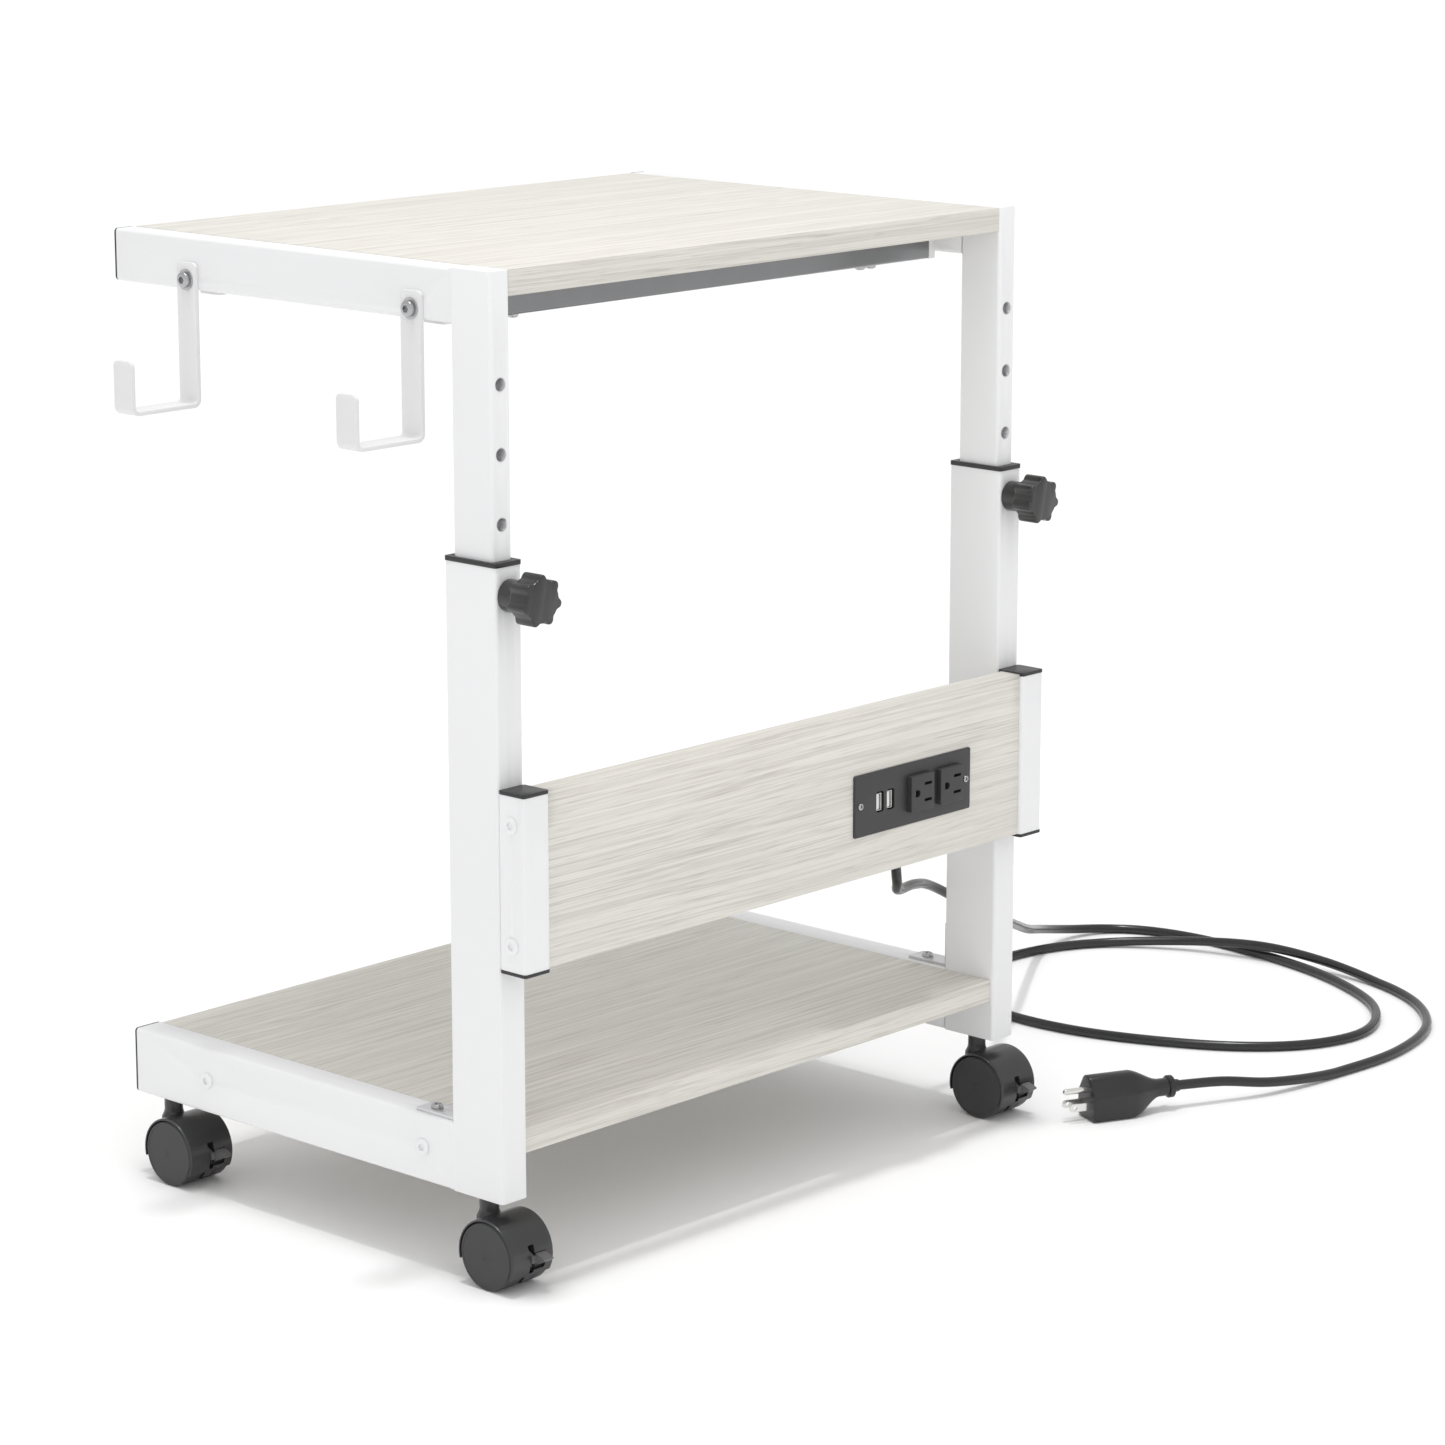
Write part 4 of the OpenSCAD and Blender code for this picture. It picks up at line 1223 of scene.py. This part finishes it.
@dataclass
class CasterForms:
    """The meshes that all four casters share, made about the middle of the axle."""

    radius: float = 25.0
    hood_outer: float = 27.2
    hood_inner: float = 25.6
    width: float = 41.0
    web: float = 7.0
    trail: float = 16.0
    from_angle: float = -28.0
    to_angle: float = 194.0
    neck: float = 7.0
    neck_top: float = 37.3
    tread: float = 16.5
    stem_foot: float = 17.0
    brake_pin: tuple[float, float, float] = (0.0, -15.0, 5.0)

    def build(self) -> dict[str, bpy.types.Mesh]:
        """Makes the meshes, by name."""
        makers: dict[str, Callable[[], bpy.types.Object]] = {
            "hood": self.hood, "wheel_outer": lambda: self.wheel(-1),
            "wheel_inner": lambda: self.wheel(1), "brake": self.brake, "stem": self.stem}
        meshes = {}
        for name, maker in makers.items():
            piece = maker()
            meshes[name] = piece.data
            bpy.data.objects.remove(piece)
        return meshes

    def rim_section(self) -> Outline:
        """The hood's wall across the caster, as places along X and radii."""
        half, outer, inner = self.width / 2, self.hood_outer, self.hood_inner
        right = [(half, inner + 0.25), (half, outer - 0.9), (half - 0.2, outer - 0.45),
                 (half - 0.7, outer - 0.15), (half - 1.6, outer - 0.03), (half - 5.0, outer), (0.0, outer)]
        left = [(-x, r) for x, r in reversed(right[:-1])]
        return right + left + [(-half + 0.25, inner), (half - 0.25, inner)]

    def hood(self) -> bpy.types.Object:
        """Makes the hood with its web, neck, brake pocket and window."""
        bm, web, neck, cuts = bmesh.new(), bmesh.new(), bmesh.new(), bmesh.new()
        section, rings, steps = self.rim_section(), [], 72
        for k in range(steps + 1):
            angle = math.radians(self.from_angle + (self.to_angle - self.from_angle) * k / steps)
            rings.append([local(x, -r * math.cos(angle), r * math.sin(angle)) for x, r in section])
        loft(bm, rings)
        disc = [(max(-18.2, 26.2 * math.sin(t * math.pi / 36)), 26.2 * math.cos(t * math.pi / 36))
                for t in range(72)]
        outline = [(y * MM, z * MM) for z, y in disc]
        across = facing((0, 0, 0), (1, 0, 0))
        stack(web, [(outline, z * MM) for z in (-self.web / 2, self.web / 2)], across)
        profile = [(0, 12.0), (self.neck + 2.6, 12.0), (self.neck + 2.2, 22.5), (self.neck + 0.6, 25.6),
                   (self.neck, 28.0), (self.neck, self.neck_top - 0.5), (self.neck - 0.5, self.neck_top),
                   (0, self.neck_top)]
        turned(neck, metres(profile),
               facing(local(0, self.trail, 0), (0, 0, 1)), 40)
        slab(cuts, local(-2.1, -29.2, -11), local(2.1, -4.0, 10), 0.3 * MM, CRISP)
        slab(cuts, local(-3.4, -29.2, 6), local(1.9, -24.0, 9.9), 0.4 * MM, CRISP, 1)
        slab(cuts, local(-2.1, -29.2, -9), local(12.6, -22.7, 3.9), 0.6 * MM, CRISP, 1)
        piece = solid("hood", bm)
        joined(piece, web, "UNION")
        joined(piece, neck, "UNION")
        wells = bmesh.new()
        for side in (-1, 1):
            at = facing(local(side * (self.web / 2 + 0.05), 0, 0), (side, 0, 0))
            well = [(0, 0), (self.hood_inner, 0), (self.hood_inner, 30), (0, 30)]
            turned(wells, metres(well), at, 144)
        joined(piece, wells, "DIFFERENCE")
        joined(piece, cuts, "DIFFERENCE")
        pin = bmesh.new()
        turned(pin, metres([(0, -3.2), (1.45, -3.2), (1.45, 3.2), (0, 3.2)]),
               facing(local(*self.brake_pin), (1, 0, 0)), 24)
        joined(piece, pin, "UNION")
        shaded(piece, 28)
        evened(piece)
        return piece

    def wheel(self, side: int) -> bpy.types.Object:
        """Makes one wheel.

        Args:
            side: -1 for the wheel on the left, 1 for the one on the right.

        Returns:
            The wheel, in place.
        """
        r, w = self.radius, self.tread
        profile = [(0, w - 2.4), (2.55, w - 2.4), (2.55, 0), (r - 0.8, 0), (r - 0.2, 0.25), (r, 0.9),
                   (r, w - 1.5), (r - 0.25, w - 0.85), (r - 0.85, w - 0.3), (r - 1.5, w - 0.05),
                   (r - 2.1, w), (r - 2.5, w - 0.1), (r - 2.7, w - 0.35), (2.6, w - 0.35), (2.3, w - 0.6),
                   (0, w - 0.6)]
        bm = bmesh.new()
        start = self.web / 2 + 0.5
        turned(bm, metres(profile),
               facing(local(side * start, 0, 0), (side, 0, 0)), 128)
        piece = solid("wheel", bm)
        shaded(piece, 30)
        return piece

    def brake(self) -> bpy.types.Object:
        """Makes the brake lever: an arm in the pocket and a wedge for the toe."""
        arm, bridge, tab = bmesh.new(), bmesh.new(), bmesh.new()
        side = facing((0, 0, 0), (1, 0, 0))
        web = [(-26.4, -3.0), (-12.6, 1.4), (-12.0, 3.6), (-12.4, 6.0), (-14.0, 7.6), (-16.6, 7.4),
               (-26.4, 2.2)]
        stack(arm, [(metres(web), x * MM) for x in (-1.6, 1.6)], side)
        inner = [(-28.2, -3.2), (-25.5, -2.8), (-25.5, 1.8), (-28.2, 2.2)]
        stack(bridge, [(metres(inner), x * MM) for x in (-1.5, 3.4)], side)
        toe = [(-27.4, -4.4), (-27.4, 3.5), (-28.6, 3.4), (-35.6, 0.9), (-36.2, 0.2), (-36.0, -0.6),
               (-34.6, -1.6), (-28.6, -4.4)]
        stack(tab, [(metres(toe[::-1]), x * MM) for x in (2.3, 11.4)], side)
        piece = solid("brake", arm)
        joined(piece, bridge, "UNION")
        joined(piece, tab, "UNION")
        bore = bmesh.new()
        turned(bore, metres([(1.55, -5), (1.55, 5)]),
               facing(local(*self.brake_pin), (1, 0, 0)), 28)
        joined(piece, bore, "DIFFERENCE")
        softened(piece, 0.35 * MM, 2, 40)
        shaded(piece, 32)
        evened(piece)
        return piece

    def stem(self) -> bpy.types.Object:
        """Makes the swivel stem with its thrust washer, and the axle."""
        bm = bmesh.new()
        low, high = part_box("front_left_caster_stem")
        foot, top = (low.z / MM - self.radius), (high.z / MM - self.radius)
        bottom = max(foot, self.stem_foot)
        profile = [(0, bottom), (5.4, bottom), (5.4, 37.4), (8.2, 37.4), (8.4, 37.6), (8.4, 38.2),
                   (8.2, 38.4), (5.4, 38.4), (5.4, top - 1.0), (4.4, top), (0, top)]
        turned(bm, metres(profile),
               facing(local(0, self.trail, 0), (0, 0, 1)), 36)
        axle = [(0, -17.5), (2.2, -17.5), (2.5, -17.2), (2.5, 17.2), (2.2, 17.5), (0, 17.5)]
        turned(bm, metres(axle), facing((0, 0, 0), (1, 0, 0)), 32)
        piece = solid("stem", bm)
        shaded(piece, 32)
        return piece


@dataclass
class Caster:
    """One twin-wheel braked caster."""

    place: str
    meshes: dict[str, bpy.types.Mesh]

    def build(self) -> None:
        """Puts the caster's five pieces in place, each on the body that it moves with."""
        low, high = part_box(self.place + "_wheel_outer")
        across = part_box(self.place + "_caster_hood")
        centre = Vector(((across[0].x + across[1].x) / 2, (low.y + high.y) / 2, (low.z + high.z) / 2))
        swap = "right" in self.place
        rows = (("hood", Finish.CASTER, "_caster", "_caster_hood"),
                ("stem", Finish.STEM, "_caster", "_caster_stem"),
                ("wheel_outer", Finish.WHEEL, "_wheel_outer", "_wheel_outer"),
                ("wheel_inner", Finish.WHEEL, "_wheel_inner", "_wheel_inner"),
                ("brake", Finish.BRAKE, "_brake", "_brake"))
        for form, finish, body, node in rows:
            if swap and form.startswith("wheel"):
                source = "wheel_inner" if form == "wheel_outer" else "wheel_outer"
            else:
                source = form
            piece = placed(f"{self.place}_{form}_shown", self.meshes[source])
            piece.location = centre
            settle(piece, finish, self.place + body, self.place + node)


# ---- the whole stand


def main() -> None:
    """Builds the stand from the studio outwards."""
    logging.basicConfig(level=logging.INFO, format="%(name)s: %(message)s")
    Studio().build()
    PowerCord().build()
    BaseFrame().build()
    Boards().build()
    PowerUnit().build()
    UpperFrame().build()
    for side in ("left", "right"):
        ClampKnob(side).build()
    meshes = CasterForms().build()
    for place in ("front_left", "rear_left", "front_right", "rear_right"):
        Caster(place, meshes).build()


if __name__ == "__main__":
    main()
